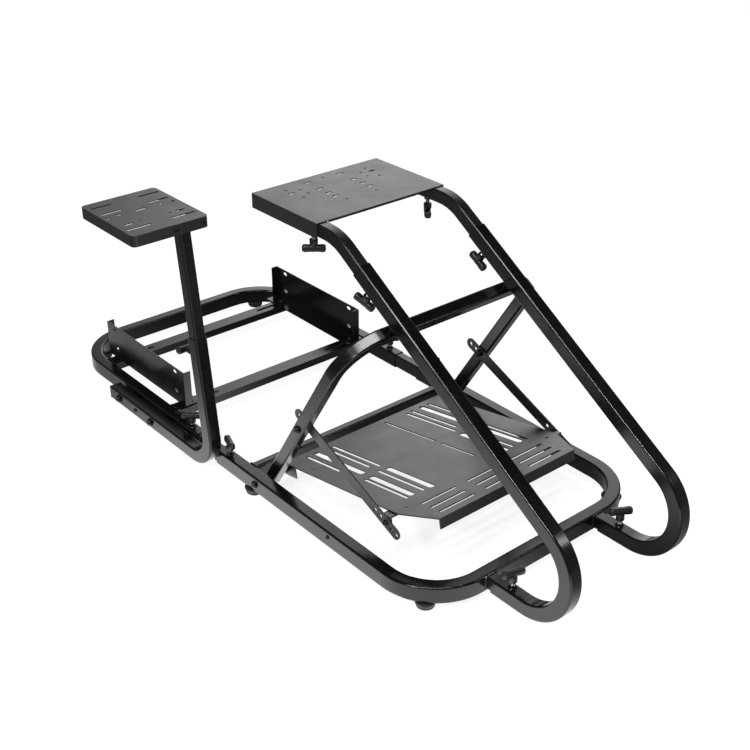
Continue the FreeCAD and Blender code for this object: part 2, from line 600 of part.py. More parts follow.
for side, sign in (("left", "1"), ("right", "-1")):
    post = bent_tube(f"wheel_post_{side}", "post_width", "post_depth", "XZ_Plane", "YZ_Plane", [
        ("0", "post_arm_run", None),
        ("post_heading", "post_run", "post_bend"),
    ])
    place(post, "post_arm_back", f"{sign} * post_half_spacing", "post_arm_middle")
    nodes.append(post)

    stub = straight_tube(f"post_stub_{side}", "arm_width", "arm_depth", "YZ_Plane", "stub_run")
    place(stub, "front_reach + tube_width / 2", f"{sign} * post_half_spacing", "post_arm_middle")
    nodes.append(stub)

    arm = bent_tube(f"wheel_arm_{side}", "arm_width", "arm_depth", "XZ_Plane", "YZ_Plane", [
        ("0", "wheel_level_run", None),
        ("wheel_heading", "wheel_slope_run", "wheel_bend"),
    ])
    place(arm, "wheel_corner_x - wheel_arm_reach", f"{sign} * post_half_spacing", "wheel_corner_z")
    nodes.append(arm)

hoop = bent_tube("support_hoop", "hoop_depth", "hoop_width", "YZ_Plane", "XY_Plane", [
    ("90", "hoop_leg_run", None),
    ("180", "hoop_top_run", "hoop_bend"),
    ("-90", "hoop_leg_run", "hoop_bend"),
])
place(hoop, "hoop_foot_x", "hoop_half", "hoop_foot_z", turn="post_slope")
nodes.append(hoop)


def side_bush(name, x, y, z, radius, run):
    """A round spacer across the cockpit, from its end at y toward the right."""
    bush = doc.addObject("Part::Cylinder", name)
    bind(bush, "Radius", radius)
    bind(bush, "Height", run)
    place(bush, x, y, z, turn="90", axis=vec(1, 0, 0))
    return bush


spacers = [
    side_bush(f"hoop_spacer_{i}", "hoop_bolt_x", y, "hoop_bolt_z", "hoop_spacer_radius", "hoop_spacer")
    for i, y in enumerate(("rail_inside", "0 - hoop_outside"))]
for i, sign in enumerate(("1", "-1")):
    bar_spacer = doc.addObject("Part::Cylinder", f"bar_spacer_{i}")
    bind(bar_spacer, "Radius", "hoop_spacer_radius")
    bind(bar_spacer, "Height", "hoop_top_gap")
    place(bar_spacer, "hoop_foot_x + hoop_length * slope_sin", f"{sign} * post_half_spacing",
          "hoop_foot_z + hoop_length * slope_cos", turn="post_slope")
    spacers.append(bar_spacer)
nodes.append(group("hoop_spacers", spacers))

# Wheel plate: a folded tray over the level arms, with bolt slots for wheel bases.

WHEEL_SLOTS = [(-80, 42, 18), (-37, 44, 16), (-8, 44, 16), (14, 44, 16), (-51, 104, 16)]
WHEEL_HOLES = [(42, 38), (-72, 102), (-56, 78), (-33, 76), (-20, 98), (-83, 0)]

wheel_plate = new_body("wheel_plate")
HALF_X, HALF_Y = "wheel_plate_depth / 2", "wheel_plate_width / 2"
pad_outline(wheel_plate, "Top", "XY_Plane", rectangle(f"0 - {HALF_X}", HALF_X, f"0 - {HALF_Y}", HALF_Y),
            "wheel_plate_sheet")
for name, low, high in (("Left", f"{HALF_Y} - wheel_plate_sheet", HALF_Y),
                        ("Right", f"0 - {HALF_Y}", f"wheel_plate_sheet - {HALF_Y}")):
    pad_outline(wheel_plate, name + "Skirt", "XY_Plane", rectangle(f"0 - {HALF_X}", HALF_X, low, high),
                "wheel_plate_skirt", reverse=True)
LIP_Y = "post_half_spacing - arm_width / 2 - wheel_plate_sheet"
pad_outline(wheel_plate, "FrontLip", "XY_Plane",
            rectangle(f"{HALF_X} - wheel_plate_sheet", HALF_X, f"0 - ({LIP_Y})", LIP_Y),
            "wheel_plate_lip", reverse=True)
width = size("mount_slot_width")
round_holes = [(u, s * v, width, width, False) for u, v in WHEEL_HOLES for s in ((1, -1) if v else (1,))]
cut_holes(wheel_plate, "BoltSlots", "XY_Plane", mirrored_slots(WHEEL_SLOTS, width) + round_holes)
place(wheel_plate, "wheel_plate_front - wheel_plate_depth / 2", "0", "wheel_plate_under")
nodes.append(wheel_plate)

# Pedals: a tilted plate on pivots at the hoop's legs, held in front by two drilled links.

PEDAL_REAR_ROWS = [(48, 17, 134, 7), (71, 17, 180, 14), (98, 17, 167, 7), (114, 20, 182, 7)]
PEDAL_FRONT_ROWS = [(55, 203, 335, 7), (70, 203, 333, 14), (97, 193, 336, 7), (117, 199, 339, 14)]
PEDAL_SINGLE_ROWS = [(175, 17, 184, 5), (175, 201, 303, 5)]
PEDAL_CROSS_ROWS = [72, 46, 21]
PEDAL_CROSS_SIDE = 54
PEDAL_CROSS_HALF = 46
PEDAL_CROSS_WEB = 27
PEDAL_HOLES = [(362, 26), (81, 17)]


def pedal_holes():
    """The plate's slots: long ones under the pedals, cross ones near the front and a few round holes.

    Rows of long slots are (from the plate's side, from and to along the plate, width); cross rows
    count from the front edge, and their spans from the plate's sides and its middle.
    """
    side, front = size("pedal_half"), size("pedal_length")
    found = []
    for inset, low, high, slot_width in PEDAL_REAR_ROWS + PEDAL_FRONT_ROWS:
        found += [((low + high) / 2, s * (side - inset), high - low, slot_width, False) for s in (1, -1)]
    for inset, low, high, slot_width in PEDAL_SINGLE_ROWS:
        found.append(((low + high) / 2, side - inset, high - low, slot_width, False))
    near = PEDAL_CROSS_SIDE
    far = side - PEDAL_CROSS_HALF - PEDAL_CROSS_WEB
    for inset in PEDAL_CROSS_ROWS:
        u = front - inset
        found += [(u, s * (side - (near + far) / 2), far - near, width, True) for s in (1, -1)]
        found.append((u, 0, 2 * PEDAL_CROSS_HALF, width, True))
    found += [(u, s * (side - inset), width, width, False) for u, inset in PEDAL_HOLES for s in (1, -1)]
    return found


pedal = new_body("pedal_plate")
CUT_V, CUT_U = "pedal_half - pedal_corner_side", "pedal_length - pedal_corner_length"
pad_outline(pedal, "Sheet", "XY_Plane", [
    ("0", "0 - pedal_half"),
    (CUT_U, "0 - pedal_half"),
    ("pedal_length", f"0 - ({CUT_V})"),
    ("pedal_length", CUT_V),
    (CUT_U, "pedal_half"),
    ("0", "pedal_half"),
], "pedal_sheet")
pad_outline(pedal, "FrontLip", "XY_Plane",
            rectangle("pedal_length - pedal_sheet", "pedal_length", f"0 - ({CUT_V})", CUT_V),
            "pedal_lip", reverse=True)
for name, low, high in (("Left", "pedal_half - pedal_sheet", "pedal_half"),
                        ("Right", "0 - pedal_half", "pedal_sheet - pedal_half")):
    pad_outline(pedal, name + "Ear", "XY_Plane", rectangle("0", "pedal_ear_length", low, high),
                "pedal_ear_drop", reverse=True)
cut_holes(pedal, "Slots", "XY_Plane", pedal_holes())
round_edges(pedal, "CornerRounds", lambda e: upright_at(e, size_of(CUT_U), size("pedal_half")),
            "pedal_corner_radius")
place(pedal, "pedal_back", "0", "pedal_z", turn="0 - pedal_tilt")
nodes.append(pedal)

nodes.append(group("pedal_pivots", [
    side_bush(f"pedal_bush_{i}", "pivot_x", y, "pivot_z", "pivot_radius", "pedal_side_gap")
    for i, y in enumerate(("hoop_inside", "0 - pedal_half"))]))

LUG_OUT = "link_inside - pedal_half"
lugs = []
for side, sign in (("left", 1), ("right", -1)):
    link = new_body(f"pedal_link_{side}")
    half = "link_width / 2"
    bar = rectangle("0 - link_behind", "link_reach + link_ahead", f"0 - {half}", half)
    pad_outline(link, "Bar", "XZ_Plane", bar, "link_sheet", reverse=True)
    hole = 2 * size("link_hole_radius")
    ahead = [size("link_hole_first") + i * size("link_hole_pitch") for i in range(5)]
    spots = [-size_of(f"link_behind - link_width / 2 - {i} * link_hole_pitch") for i in range(2)]
    cut_holes(link, "Holes", "XZ_Plane", [(u, 0, hole, hole, False) for u in spots + ahead])
    round_edges(link, "RoundEnds", lambda e: abs(e.tangentAt(e.FirstParameter).y) > 0.9
                and abs(abs(e.CenterOfMass.z) - size_of("link_width / 2")) < 0.01, "link_width * 0.499")
    place(link, "link_x", "link_inside" if sign > 0 else "0 - hoop_inside", "link_z", turn="link_angle")
    nodes.append(link)

    lug = new_body(f"pedal_lug_{side}")
    low, high = ("0 - lug_width / 2", "lug_width / 2")
    reach = f"{sign} * ({LUG_OUT})"
    pad_outline(lug, "Shelf", "XY_Plane", rectangle(low, high, f"{-sign} * lug_width", reach), "lug_sheet",
                reverse=True)
    pad_outline(lug, "Tab", "XY_Plane", rectangle(low, high, f"{sign} * ({LUG_OUT} - lug_sheet)", reach),
                "lug_drop", reverse=True)
    place(lug, "lug_x", f"{sign} * pedal_half", "lug_z", turn="0 - pedal_tilt")
    lugs.append(lug)
nodes.append(group("pedal_lugs", lugs))

# Shifter: a bent arm on spacers at the right rail, a telescoping post and a folded plate.

shifter_arm = bent_tube("shifter_arm", "shifter_width", "shifter_depth", "XZ_Plane", "YZ_Plane", [
    ("0", "shifter_arm_run", None),
    ("shifter_turn", "shifter_sleeve", "shifter_bend"),
])
place(shifter_arm, "0 - shifter_back", "0 - shifter_y", "rail_middle")
nodes.append(shifter_arm)

spacers = []
for i, ahead in enumerate(("shifter_bolt_first", "shifter_bolt_first + shifter_bolt_pitch")):
    spacer = doc.addObject("Part::Box", f"shifter_spacer_{i}")
    bind(spacer, "Length", "shifter_spacer_side")
    bind(spacer, "Width", "shifter_spacer")
    bind(spacer, "Height", "shifter_depth - 2 * tube_corner")
    place(spacer, f"{ahead} - shifter_back - shifter_spacer_side / 2", "0 - rail_outside - shifter_spacer",
          "rail_middle - shifter_depth / 2 + tube_corner")
    spacers.append(spacer)
nodes.append(group("shifter_spacers", spacers))

cap = new_body("shifter_arm_cap")
pad = cap.newObject("PartDesign::Pad", "Cap")
cap_face = new_sketch(cap, "Face", "YZ_Plane")
box_loop(cap_face, "face", "shifter_width / 2 - tube_wall / 2", "shifter_depth / 2 - tube_wall / 2")
pad.Profile = cap_face
pad.Reversed = True
bind(pad, "Length", "cap_depth")
place(cap, "0 - shifter_back", "0 - shifter_y", "rail_middle")
nodes.append(cap)

shifter_post = new_body("shifter_post")
pad = shifter_post.newObject("PartDesign::Pad", "Tube")
pad.Profile = tube_profile(shifter_post, "XY_Plane", "arm_depth / lean_cos", "arm_width")
pad.UseCustomVector = True
pad.AlongSketchNormal = False
bind(pad, "Direction.x", "0 - lean_sin")
bind(pad, "Direction.y", "0")
bind(pad, "Direction.z", "lean_cos")
bind(pad, "Length", "shifter_post_run")
place(shifter_post, "0 - shifter_corner_back - shifter_post_low * lean_sin", "0 - shifter_y",
      "rail_middle + shifter_post_low * lean_cos")
nodes.append(shifter_post)

SHIFTER_SLOTS = [(-74, 54, 48), (-34, 52, 48), (66, 50, 54), (-14, 47, 11), (-10, 73, 9), (41, 57, 20),
                 (-12, 0, 26)]
SHIFTER_HOLES = [(41, 34)]

shifter_plate = new_body("shifter_plate")
HALF_X, HALF_Y = "shifter_plate_length / 2", "shifter_plate_width / 2"
pad_outline(shifter_plate, "Top", "XY_Plane", rectangle(f"0 - {HALF_X}", HALF_X, f"0 - {HALF_Y}", HALF_Y),
            "shifter_plate_sheet")
rim = new_sketch(shifter_plate, "RimOutline", "XY_Plane")
box_loop(rim, "outside", HALF_X, HALF_Y)
box_loop(rim, "inside", f"{HALF_X} - shifter_plate_sheet", f"{HALF_Y} - shifter_plate_sheet")
pad = shifter_plate.newObject("PartDesign::Pad", "Rim")
pad.Profile = rim
pad.Reversed = True
bind(pad, "Length", "shifter_plate_skirt")
round_edges(shifter_plate, "OuterRounds", lambda e: upright_at(e, size_of(HALF_X), size_of(HALF_Y)),
            "shifter_plate_corner")
round_edges(shifter_plate, "InnerRounds",
            lambda e: upright_at(e, size_of(f"{HALF_X} - shifter_plate_sheet"),
                                 size_of(f"{HALF_Y} - shifter_plate_sheet")),
            "shifter_plate_corner - shifter_plate_sheet")
round_holes = [(u, s * v, width, width, False) for u, v in SHIFTER_HOLES for s in (1, -1)]
cut_holes(shifter_plate, "BoltSlots", "XY_Plane", mirrored_slots(SHIFTER_SLOTS, width) + round_holes)
place(shifter_plate, "shifter_plate_front - shifter_plate_length / 2", "0 - shifter_plate_y",
      "shifter_plate_under")
nodes.append(shifter_plate)

# Clamp knobs: a handle across a hub on a bare stud, its foot at the piece's own origin.


def clamp_knob(name, x, y, z, turn, stud="knob_stud_height"):
    """A clamp knob standing on a point, its stud turned from upright by a formula's degrees."""
    body = new_body(name)
    for feature, radius, lift, depth in (
        ("Stud", "knob_stud_radius", "0", stud),
        ("Hub", "knob_hub_radius", stud, "knob_hub_height"),
    ):
        sketch = new_sketch(body, feature + "Outline", "XY_Plane", lift)
        ring = sketch.addGeometry(Part.Circle(vec(), vec(0, 0, 1), size(radius)))
        sketch.addConstraint(Sketcher.Constraint("Coincident", ring, 3, -1, 1))
        hold(sketch, "radius", radius, "Radius", ring, size(radius))
        pad = body.newObject("PartDesign::Pad", feature)
        pad.Profile = sketch
        bind(pad, "Length", depth)
    half, side = "knob_length / 2", "knob_width / 2"
    waist = "knob_width / 2 - knob_width / 8"
    pad_outline(body, "Handle", "XY_Plane", [
        (f"0 - {half}", f"0 - ({waist})"), ("0 - knob_hub_radius", f"0 - {side}"),
        ("knob_hub_radius", f"0 - {side}"), (half, f"0 - ({waist})"),
        (half, waist), ("knob_hub_radius", side),
        ("0 - knob_hub_radius", side), (f"0 - {half}", waist),
    ], "knob_height", lift=f"{stud} + knob_hub_height")
    round_edges(body, "LobeEnds", lambda e: upright_at(e, size_of(half), size_of(waist)), "knob_end_radius")
    place(body, x, y, z, turn)
    return body


def knob_pair(label, x, y, z, turn, stud="knob_stud_height"):
    """One knob at each side of the cockpit's middle."""
    return group(label, [clamp_knob(f"{label}_{i}", x, f"{sign} * {y}", z, turn, stud)
                         for i, sign in enumerate(("1", "-1"))])


nodes.append(knob_pair("rear_rail_knobs", "0 - rear_front_end - rail_knob_inset", "half_width",
                       "rail_top", "0", stud="rail_stud_height"))
nodes.append(knob_pair("front_rail_knobs", "rail_knob_inset - front_tail", "half_width",
                       "rail_top", "0", stud="rail_stud_height"))
nodes.append(knob_pair("post_arm_knobs", "post_arm_back + arm_knob_inset", "post_half_spacing",
                       "rail_top", "0"))
nodes.append(knob_pair(
    "post_sleeve_knobs",
    "sleeve_end_x + sleeve_knob_inset * slope_cos - post_depth / 2 * slope_sin", "post_half_spacing",
    "sleeve_end_z - sleeve_knob_inset * slope_sin - post_depth / 2 * slope_cos", "180 + post_slope"))
nodes.append(knob_pair("wheel_plate_knobs", "wheel_plate_front - plate_knob_inset", "post_half_spacing",
                       "wheel_corner_z - arm_depth / 2", "180"))
shifter_knob = clamp_knob(
    "shifter_knob",
    "0 - shifter_corner_back - (shifter_up - shifter_knob_inset) * lean_sin - shifter_depth / 2 * lean_cos",
    "0 - shifter_y",
    "rail_middle + (shifter_up - shifter_knob_inset) * lean_cos - shifter_depth / 2 * lean_sin",
    "270 - shifter_lean")
nodes.append(shifter_knob)

doc.recompute()

faults = [f"{o.Name}: {', '.join(o.State)}" for o in doc.Objects if {"Invalid", "Error"} & set(o.State)]
for node in nodes:
    if node.Shape.isNull() or not node.Shape.isValid() or not node.Shape.Solids:
        faults.append(f"{node.Label}: no valid solid")
if faults:
    raise RuntimeError("; ".join(faults))

os.makedirs("parts", exist_ok=True)
for node in nodes:
    node.Shape.exportStep(os.path.join("parts", node.Label + ".step"))
print(len(nodes), "nodes,", sum(len(n.Shape.Solids) for n in nodes), "solids")
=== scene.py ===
"""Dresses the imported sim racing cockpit: powder-coated tube and sheet, clamp knobs, feet, bolts and welds.

Everything is in metres in the frame's own axes: +X forward, +Y to the driver's left, +Z up from the floor.
Places in millimetres count from the middle cross tube along X, from its middle along Y and from the floor.
"""
from __future__ import annotations

import json
import logging
import math
from dataclasses import dataclass, field
from enum import Enum
from typing import Sequence

import bmesh
import bpy
from mathutils import Matrix, Vector

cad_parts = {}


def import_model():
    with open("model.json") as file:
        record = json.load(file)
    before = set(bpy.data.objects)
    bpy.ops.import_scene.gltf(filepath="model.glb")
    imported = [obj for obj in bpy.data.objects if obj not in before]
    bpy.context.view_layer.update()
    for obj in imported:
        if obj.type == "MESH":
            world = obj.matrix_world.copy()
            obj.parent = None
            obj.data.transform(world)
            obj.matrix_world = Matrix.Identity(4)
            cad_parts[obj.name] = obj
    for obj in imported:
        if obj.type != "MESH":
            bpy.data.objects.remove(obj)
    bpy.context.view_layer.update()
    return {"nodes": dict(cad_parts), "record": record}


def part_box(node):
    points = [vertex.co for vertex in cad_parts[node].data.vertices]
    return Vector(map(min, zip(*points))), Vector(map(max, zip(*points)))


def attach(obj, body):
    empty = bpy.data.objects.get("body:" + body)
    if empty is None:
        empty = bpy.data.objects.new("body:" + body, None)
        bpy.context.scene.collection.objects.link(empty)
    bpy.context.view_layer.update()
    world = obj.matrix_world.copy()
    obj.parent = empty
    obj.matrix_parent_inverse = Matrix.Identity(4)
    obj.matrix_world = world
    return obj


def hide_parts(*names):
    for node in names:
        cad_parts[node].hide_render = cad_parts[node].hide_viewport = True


Pair = tuple[float, float]
Triple = tuple[float, float, float]
Socket = bpy.types.NodeSocket
Tree = bpy.types.NodeTree

LOG = logging.getLogger("cockpit")
MM = 0.001
# Sine and cosine of the wheel posts' slope from level, and of the shifter post's lean from upright.
POST_SLOPE = (0.5314, 0.8471)
SHIFTER_LEAN = (0.1149, 0.9934)
# Below this sine two ways count as the same.
NEARLY_ALIKE = 0.01
# Shares of a nut's width: the radius that its corners are cut back to at its foot and at its top, and the
# radius of its top face.
NUT_FOOT, NUT_CUT, NUT_FACE = 0.54, 0.545, 0.47
# A finish's pattern is its slow patches plus this share of its grain, and these bands of that sum
# carry its colours and its gloss from one end to the other.
GRAIN_SHARE = 0.35
COLOUR_BAND = (0.45, 0.95)
GLOSS_BAND = (0.4, 0.95)
RELIEF_STRENGTH = 0.6
EDGE_SAMPLES = 4
# The setting of a range node whose ends ease in and out.
SMOOTH = {"interpolation_type": "SMOOTHSTEP"}


def linear(hex_colour: str) -> tuple[float, float, float, float]:
    """Turns an sRGB hex colour into linear light.

    Args:
        hex_colour: Six hex digits after a hash sign.

    Returns:
        Red, green, blue and an alpha of one.
    """
    parts = [int(hex_colour[i:i + 2], 16) / 255 for i in (1, 3, 5)]
    light = [p / 12.92 if p <= 0.04045 else ((p + 0.055) / 1.055) ** 2.4 for p in parts]
    return (light[0], light[1], light[2], 1.0)


def add_node(tree: Tree, kind: str, settings: dict | None = None,
             links: dict | None = None, **inputs: object) -> bpy.types.Node:
    """Adds a shader node with its settings, input values and links.

    Args:
        tree: The node tree that takes the node.
        kind: The node's type, such as ShaderNodeTexNoise.
        settings: Properties of the node itself.
        links: Input name or number to the output socket that feeds it.
        **inputs: Input values, with underscores for the blanks in a socket's name.

    Returns:
        The new node.
    """
    node = tree.nodes.new(kind)
    for name, value in (settings or {}).items():
        setattr(node, name, value)
    for name, value in inputs.items():
        node.inputs[name.replace("_", " ")].default_value = value
    for name, socket in (links or {}).items():
        tree.links.new(socket, node.inputs[name])
    return node


class Body(Enum):
    """The rigid bodies that a piece can ride on."""

    REAR = "rear_frame"
    FRONT = "front_frame"
    WHEEL = "wheel_mast"
    SHIFTER = "shifter_mast"


class Head(Enum):
    """What shows of a fastener: its domed head, or a nut with the bolt's end."""

    BUTTON = "button"
    NUT = "nut"


@dataclass(frozen=True)
class Finish:
    """A surface with a fine grain that stirs its colour, gloss and height.

    Attributes:
        name: The material's name.
        colour: Its sRGB hex colour.
        worn: The sRGB hex colour that it drifts to in patches.
        roughness: Its roughness in the glossiest and dullest spots.
        metallic: 1 for bare metal.
        grain_mm: The width of the grain.
        grain_height_mm: The height of the grain.
        patch_mm: The width of the slow patches in colour and gloss.
        specular: The specular level.
        edge_mm: The radius that its sharp edges look broken to.
    """

    name: str
    colour: str
    worn: str
    roughness: Pair
    metallic: float = 0.0
    grain_mm: float = 1.0
    grain_height_mm: float = 0.02
    patch_mm: float = 60.0
    specular: float = 0.5
    edge_mm: float = 0.5

    def build(self) -> bpy.types.Material:
        """Makes the material, unless it is there already.

        Returns:
            The material.
        """
        found = bpy.data.materials.get(self.name)
        if found is not None:
            return found
        material = bpy.data.materials.new(self.name)
        material.use_nodes = True
        tree = material.node_tree
        tree.nodes.clear()
        place = add_node(tree, "ShaderNodeTexCoord").outputs["Object"]
        grain = add_node(tree, "ShaderNodeTexNoise", links={"Vector": place},
                         Scale=1 / (self.grain_mm * MM), Detail=3.0, Roughness=0.55)
        patch = add_node(tree, "ShaderNodeTexNoise", links={"Vector": place},
                         Scale=1 / (self.patch_mm * MM), Detail=4.0, Roughness=0.6)
        mixed = add_node(tree, "ShaderNodeMath", {"operation": "MULTIPLY_ADD"},
                         {0: grain.outputs["Fac"], 2: patch.outputs["Fac"]})
        mixed.inputs[1].default_value = GRAIN_SHARE
        tint = add_node(tree, "ShaderNodeValToRGB", links={"Fac": mixed.outputs[0]})
        for stop, position, colour in zip(tint.color_ramp.elements, COLOUR_BAND, (self.colour, self.worn)):
            stop.position = position
            stop.color = linear(colour)
        gloss = add_node(tree, "ShaderNodeMapRange", links={"Value": mixed.outputs[0]},
                         From_Min=GLOSS_BAND[0], From_Max=GLOSS_BAND[1],
                         To_Min=self.roughness[0], To_Max=self.roughness[1])
        edge = add_node(tree, "ShaderNodeBevel", {"samples": EDGE_SAMPLES}, Radius=self.edge_mm * MM)
        relief = add_node(tree, "ShaderNodeBump",
                          links={"Height": grain.outputs["Fac"], "Normal": edge.outputs["Normal"]},
                          Strength=RELIEF_STRENGTH, Distance=self.grain_height_mm * MM)
        shader = add_node(tree, "ShaderNodeBsdfPrincipled", links={
            "Base Color": tint.outputs["Color"],
            "Roughness": gloss.outputs["Result"],
            "Normal": relief.outputs["Normal"],
        }, Metallic=self.metallic)
        shader.inputs["Specular IOR Level"].default_value = self.specular
        add_node(tree, "ShaderNodeOutputMaterial", links={"Surface": shader.outputs["BSDF"]})
        return material


# Powder coat on drawn tube: half glossy, with the faint orange peel of a coat that flowed as it baked.
TUBE_COAT = Finish("satin_powder_coat_on_tube", "#060607", "#0B0B0C", (0.15, 0.24),
                   grain_mm=2.4, grain_height_mm=0.012, specular=0.37)
# The same coat on the tubes that slide, dulled where they rub.
SLIDING_COAT = Finish("rubbed_powder_coat_on_tube", "#0A0A0B", "#131315", (0.2, 0.32),
                      grain_mm=1.8, grain_height_mm=0.012, patch_mm=30, specular=0.4)
# A fine textured coat on folded sheet; its real 0.3 mm grit is drawn coarser so that it shows.
PLATE_COAT = Finish("textured_powder_coat_on_sheet", "#0F0F10", "#151516", (0.34, 0.44),
                    grain_mm=0.9, grain_height_mm=0.02, specular=0.65, edge_mm=1.5)
# The tubes' smoother coat on the brackets, which are heavier sheet with folded ends.
BRACKET_COAT = Finish("satin_powder_coat_on_sheet", "#090909", "#0E0E0F", (0.2, 0.3),
                      grain_mm=2.4, grain_height_mm=0.012, edge_mm=1.5)
# Glass-filled nylon from a spark-eroded mould: an even, slightly dull skin.
NYLON = Finish("moulded_nylon", "#0C0C0D", "#131314", (0.32, 0.46),
               grain_mm=0.7, grain_height_mm=0.03, patch_mm=14)
# Moulded rubber with a bloom of dust.
RUBBER = Finish("moulded_rubber", "#141414", "#232220", (0.6, 0.8),
                grain_mm=1.1, grain_height_mm=0.05, patch_mm=18)
# Bright zinc plating, cloudy where the bath left it so.
ZINC = Finish("zinc_plated_steel", "#C4C5C8", "#9A9B9F", (0.2, 0.36), metallic=1.0,
              grain_mm=0.8, grain_height_mm=0.01, patch_mm=6)
# Black zinc on the bolts, dark and half glossy.
BOLT_BLACK = Finish("black_zinc_plated_steel", "#161618", "#242427", (0.24, 0.4), metallic=0.6,
                    grain_mm=0.6, grain_height_mm=0.01, patch_mm=5)

SLOT_FINISHES: dict[str, Finish] = {
    "tube_steel": TUBE_COAT,
    "inner_tube_steel": SLIDING_COAT,
    "plate_steel": PLATE_COAT,
    "knob_plastic": NYLON,
    "foot_rubber": RUBBER,
    "cap_plastic": NYLON,
    "zinc_steel": ZINC,
}
# Nodes with a finish of their own: the brackets have the tubes' smoother coat, and the spacers and pivots
# are plated black like the bolts through them.
NODE_FINISHES: dict[str, Finish] = {
    "seat_bracket_left": BRACKET_COAT,
    "seat_bracket_right": BRACKET_COAT,
    "shifter_spacers": BOLT_BLACK,
    "hoop_spacers": BOLT_BLACK,
    "pedal_pivots": BOLT_BLACK,
}


def circle(radius: float, height: float, count: int) -> list[Vector]:
    """A level ring of points about Z, in mm."""
    turns = [2 * math.pi * i / count for i in range(count)]
    return [Vector((radius * math.cos(t), radius * math.sin(t), height)) for t in turns]


def hexagon(across: float, height: float, count: int, cap: float = math.inf) -> list[Vector]:
    """A level hexagonal ring about Z, in mm.

    Args:
        across: From flat to flat.
        height: Its height.
        count: How many points, a multiple of six.
        cap: The radius that its corners are cut back to.

    Returns:
        The ring's points.
    """
    ring = []
    for i in range(count):
        turn = 2 * math.pi * i / count
        from_flat = (turn + math.pi / 6) % (math.pi / 3) - math.pi / 6
        radius = min(across / 2 / math.cos(from_flat), cap)
        ring.append(Vector((radius * math.cos(turn), radius * math.sin(turn), height)))
    return ring


def rounded_rectangle(half_a: float, half_b: float, corner: float, step: float) -> list[Vector]:
    """The outline of a rounded rectangle about Z, in mm.

    Args:
        half_a: Half its side along X.
        half_b: Half its side along Y.
        corner: The radius of its corners.
        step: The longest way from a point to the next.

    Returns:
        Its points, anticlockwise.
    """
    outline = []
    for quarter, (sign_a, sign_b) in enumerate(((1, 1), (-1, 1), (-1, -1), (1, -1))):
        middle = Vector((sign_a * (half_a - corner), sign_b * (half_b - corner), 0))
        steps = max(3, math.ceil(corner * math.pi / 2 / step))
        for i in range(steps + 1):
            turn = math.pi / 2 * (quarter + i / steps)
            outline.append(middle + corner * Vector((math.cos(turn), math.sin(turn), 0)))
    filled = []
    for here, there in zip(outline, outline[1:] + outline[:1]):
        parts = max(1, math.ceil((there - here).length / step))
        filled += [here.lerp(there, i / parts) for i in range(parts)]
    return filled


def stand(at: Vector, axis: Sequence[float], along: Sequence[float] = (1, 0, 0)) -> Matrix:
    """A place whose Z runs along an axis and whose X points as near as it can along a second one.

    Args:
        at: Where its origin is.
        axis: Its Z.
        along: The way that its X leans to; another is taken where that is the axis itself.

    Returns:
        The place as a matrix.
    """
    up = Vector(axis).normalized()
    first = Vector(along)
    if first.cross(up).length < NEARLY_ALIKE:
        first = Vector((0, 0, 1))
    first = (first - up * first.dot(up)).normalized()
    return Matrix.Translation(at) @ Matrix((first, up.cross(first), up)).transposed().to_4x4()


@dataclass
class Site:
    """The cockpit's datum in the frame.

    Attributes:
        cross: The middle of the middle cross tube.
    """

    cross: Vector

    def at(self, x: float, y: float, z: float) -> Vector:
        """A place in metres, from mm ahead of the cross tube, mm left of the middle and mm off the floor."""
        return Vector((self.cross.x + x * MM, self.cross.y + y * MM, z * MM))


@dataclass
class Piece:
    """A named piece in the making, gathered from lofts before its mesh is made.

    Attributes:
        name: The piece's name.
        body: The body that it rides on.
        slot: The record's material slot; not used.
        finish: Its finish.
        points: The mesh's points so far, in metres.
        faces: The mesh's faces so far.
    """

    name: str
    body: Body
    slot: str
    finish: Finish
    points: list[Vector] = field(default_factory=list)
    faces: list[tuple[int, ...]] = field(default_factory=list)

    def loft(self, rings: Sequence[Sequence[Vector]], place: Matrix, closed: bool = False) -> None:
        """Skins a row of rings, and closes its two ends or joins them.

        Args:
            rings: Rings of as many points each, in mm, in the loft's own axes.
            place: Where the loft stands, in metres.
            closed: Whether the last ring joins the first.
        """
        count, first = len(rings[0]), len(self.points)
        for ring in rings:
            self.points += [place @ (point * MM) for point in ring]
        rows = len(rings)
        for row in range(rows if closed else rows - 1):
            low, high = first + row * count, first + (row + 1) % rows * count
            for i in range(count):
                j = (i + 1) % count
                self.faces.append((low + i, low + j, high + j, high + i))
        if not closed:
            self.faces.append(tuple(first + i for i in reversed(range(count))))
            self.faces.append(tuple(first + (rows - 1) * count + i for i in range(count)))

    def turn(self, profile: Sequence[Pair], place: Matrix, count: int = 32) -> None:
        """Adds a turned form.

        Args:
            profile: Radius and height of each ring, in mm.
            place: Where it stands.
            count: Points round each ring.
        """
        self.loft([circle(radius, height, count) for radius, height in profile], place)

    def make(self, replaced: Sequence[str] = (), sharp: float = 38.0) -> None:
        """Makes the piece's object, dresses it and hangs it on its body's empty.

        Args:
            replaced: The CAD nodes that it stands for.
            sharp: The angle in degrees from which an edge stays sharp.
        """
        mesh = bpy.data.meshes.new(self.name)
        mesh.from_pydata([tuple(point) for point in self.points], [], self.faces)
        shell = bmesh.new()
        shell.from_mesh(mesh)
        bmesh.ops.recalc_face_normals(shell, faces=shell.faces)
        shell.to_mesh(mesh)
        shell.free()
        mesh.shade_smooth()
        mesh.set_sharp_from_angle(angle=math.radians(sharp))
        mesh.materials.append(self.finish.build())
        thing = bpy.data.objects.new(self.name, mesh)
        bpy.context.collection.objects.link(thing)
        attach(thing, self.body.value)
        if replaced:
            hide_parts(*replaced)
        LOG.info("made %s on %s", self.name, self.body.value)


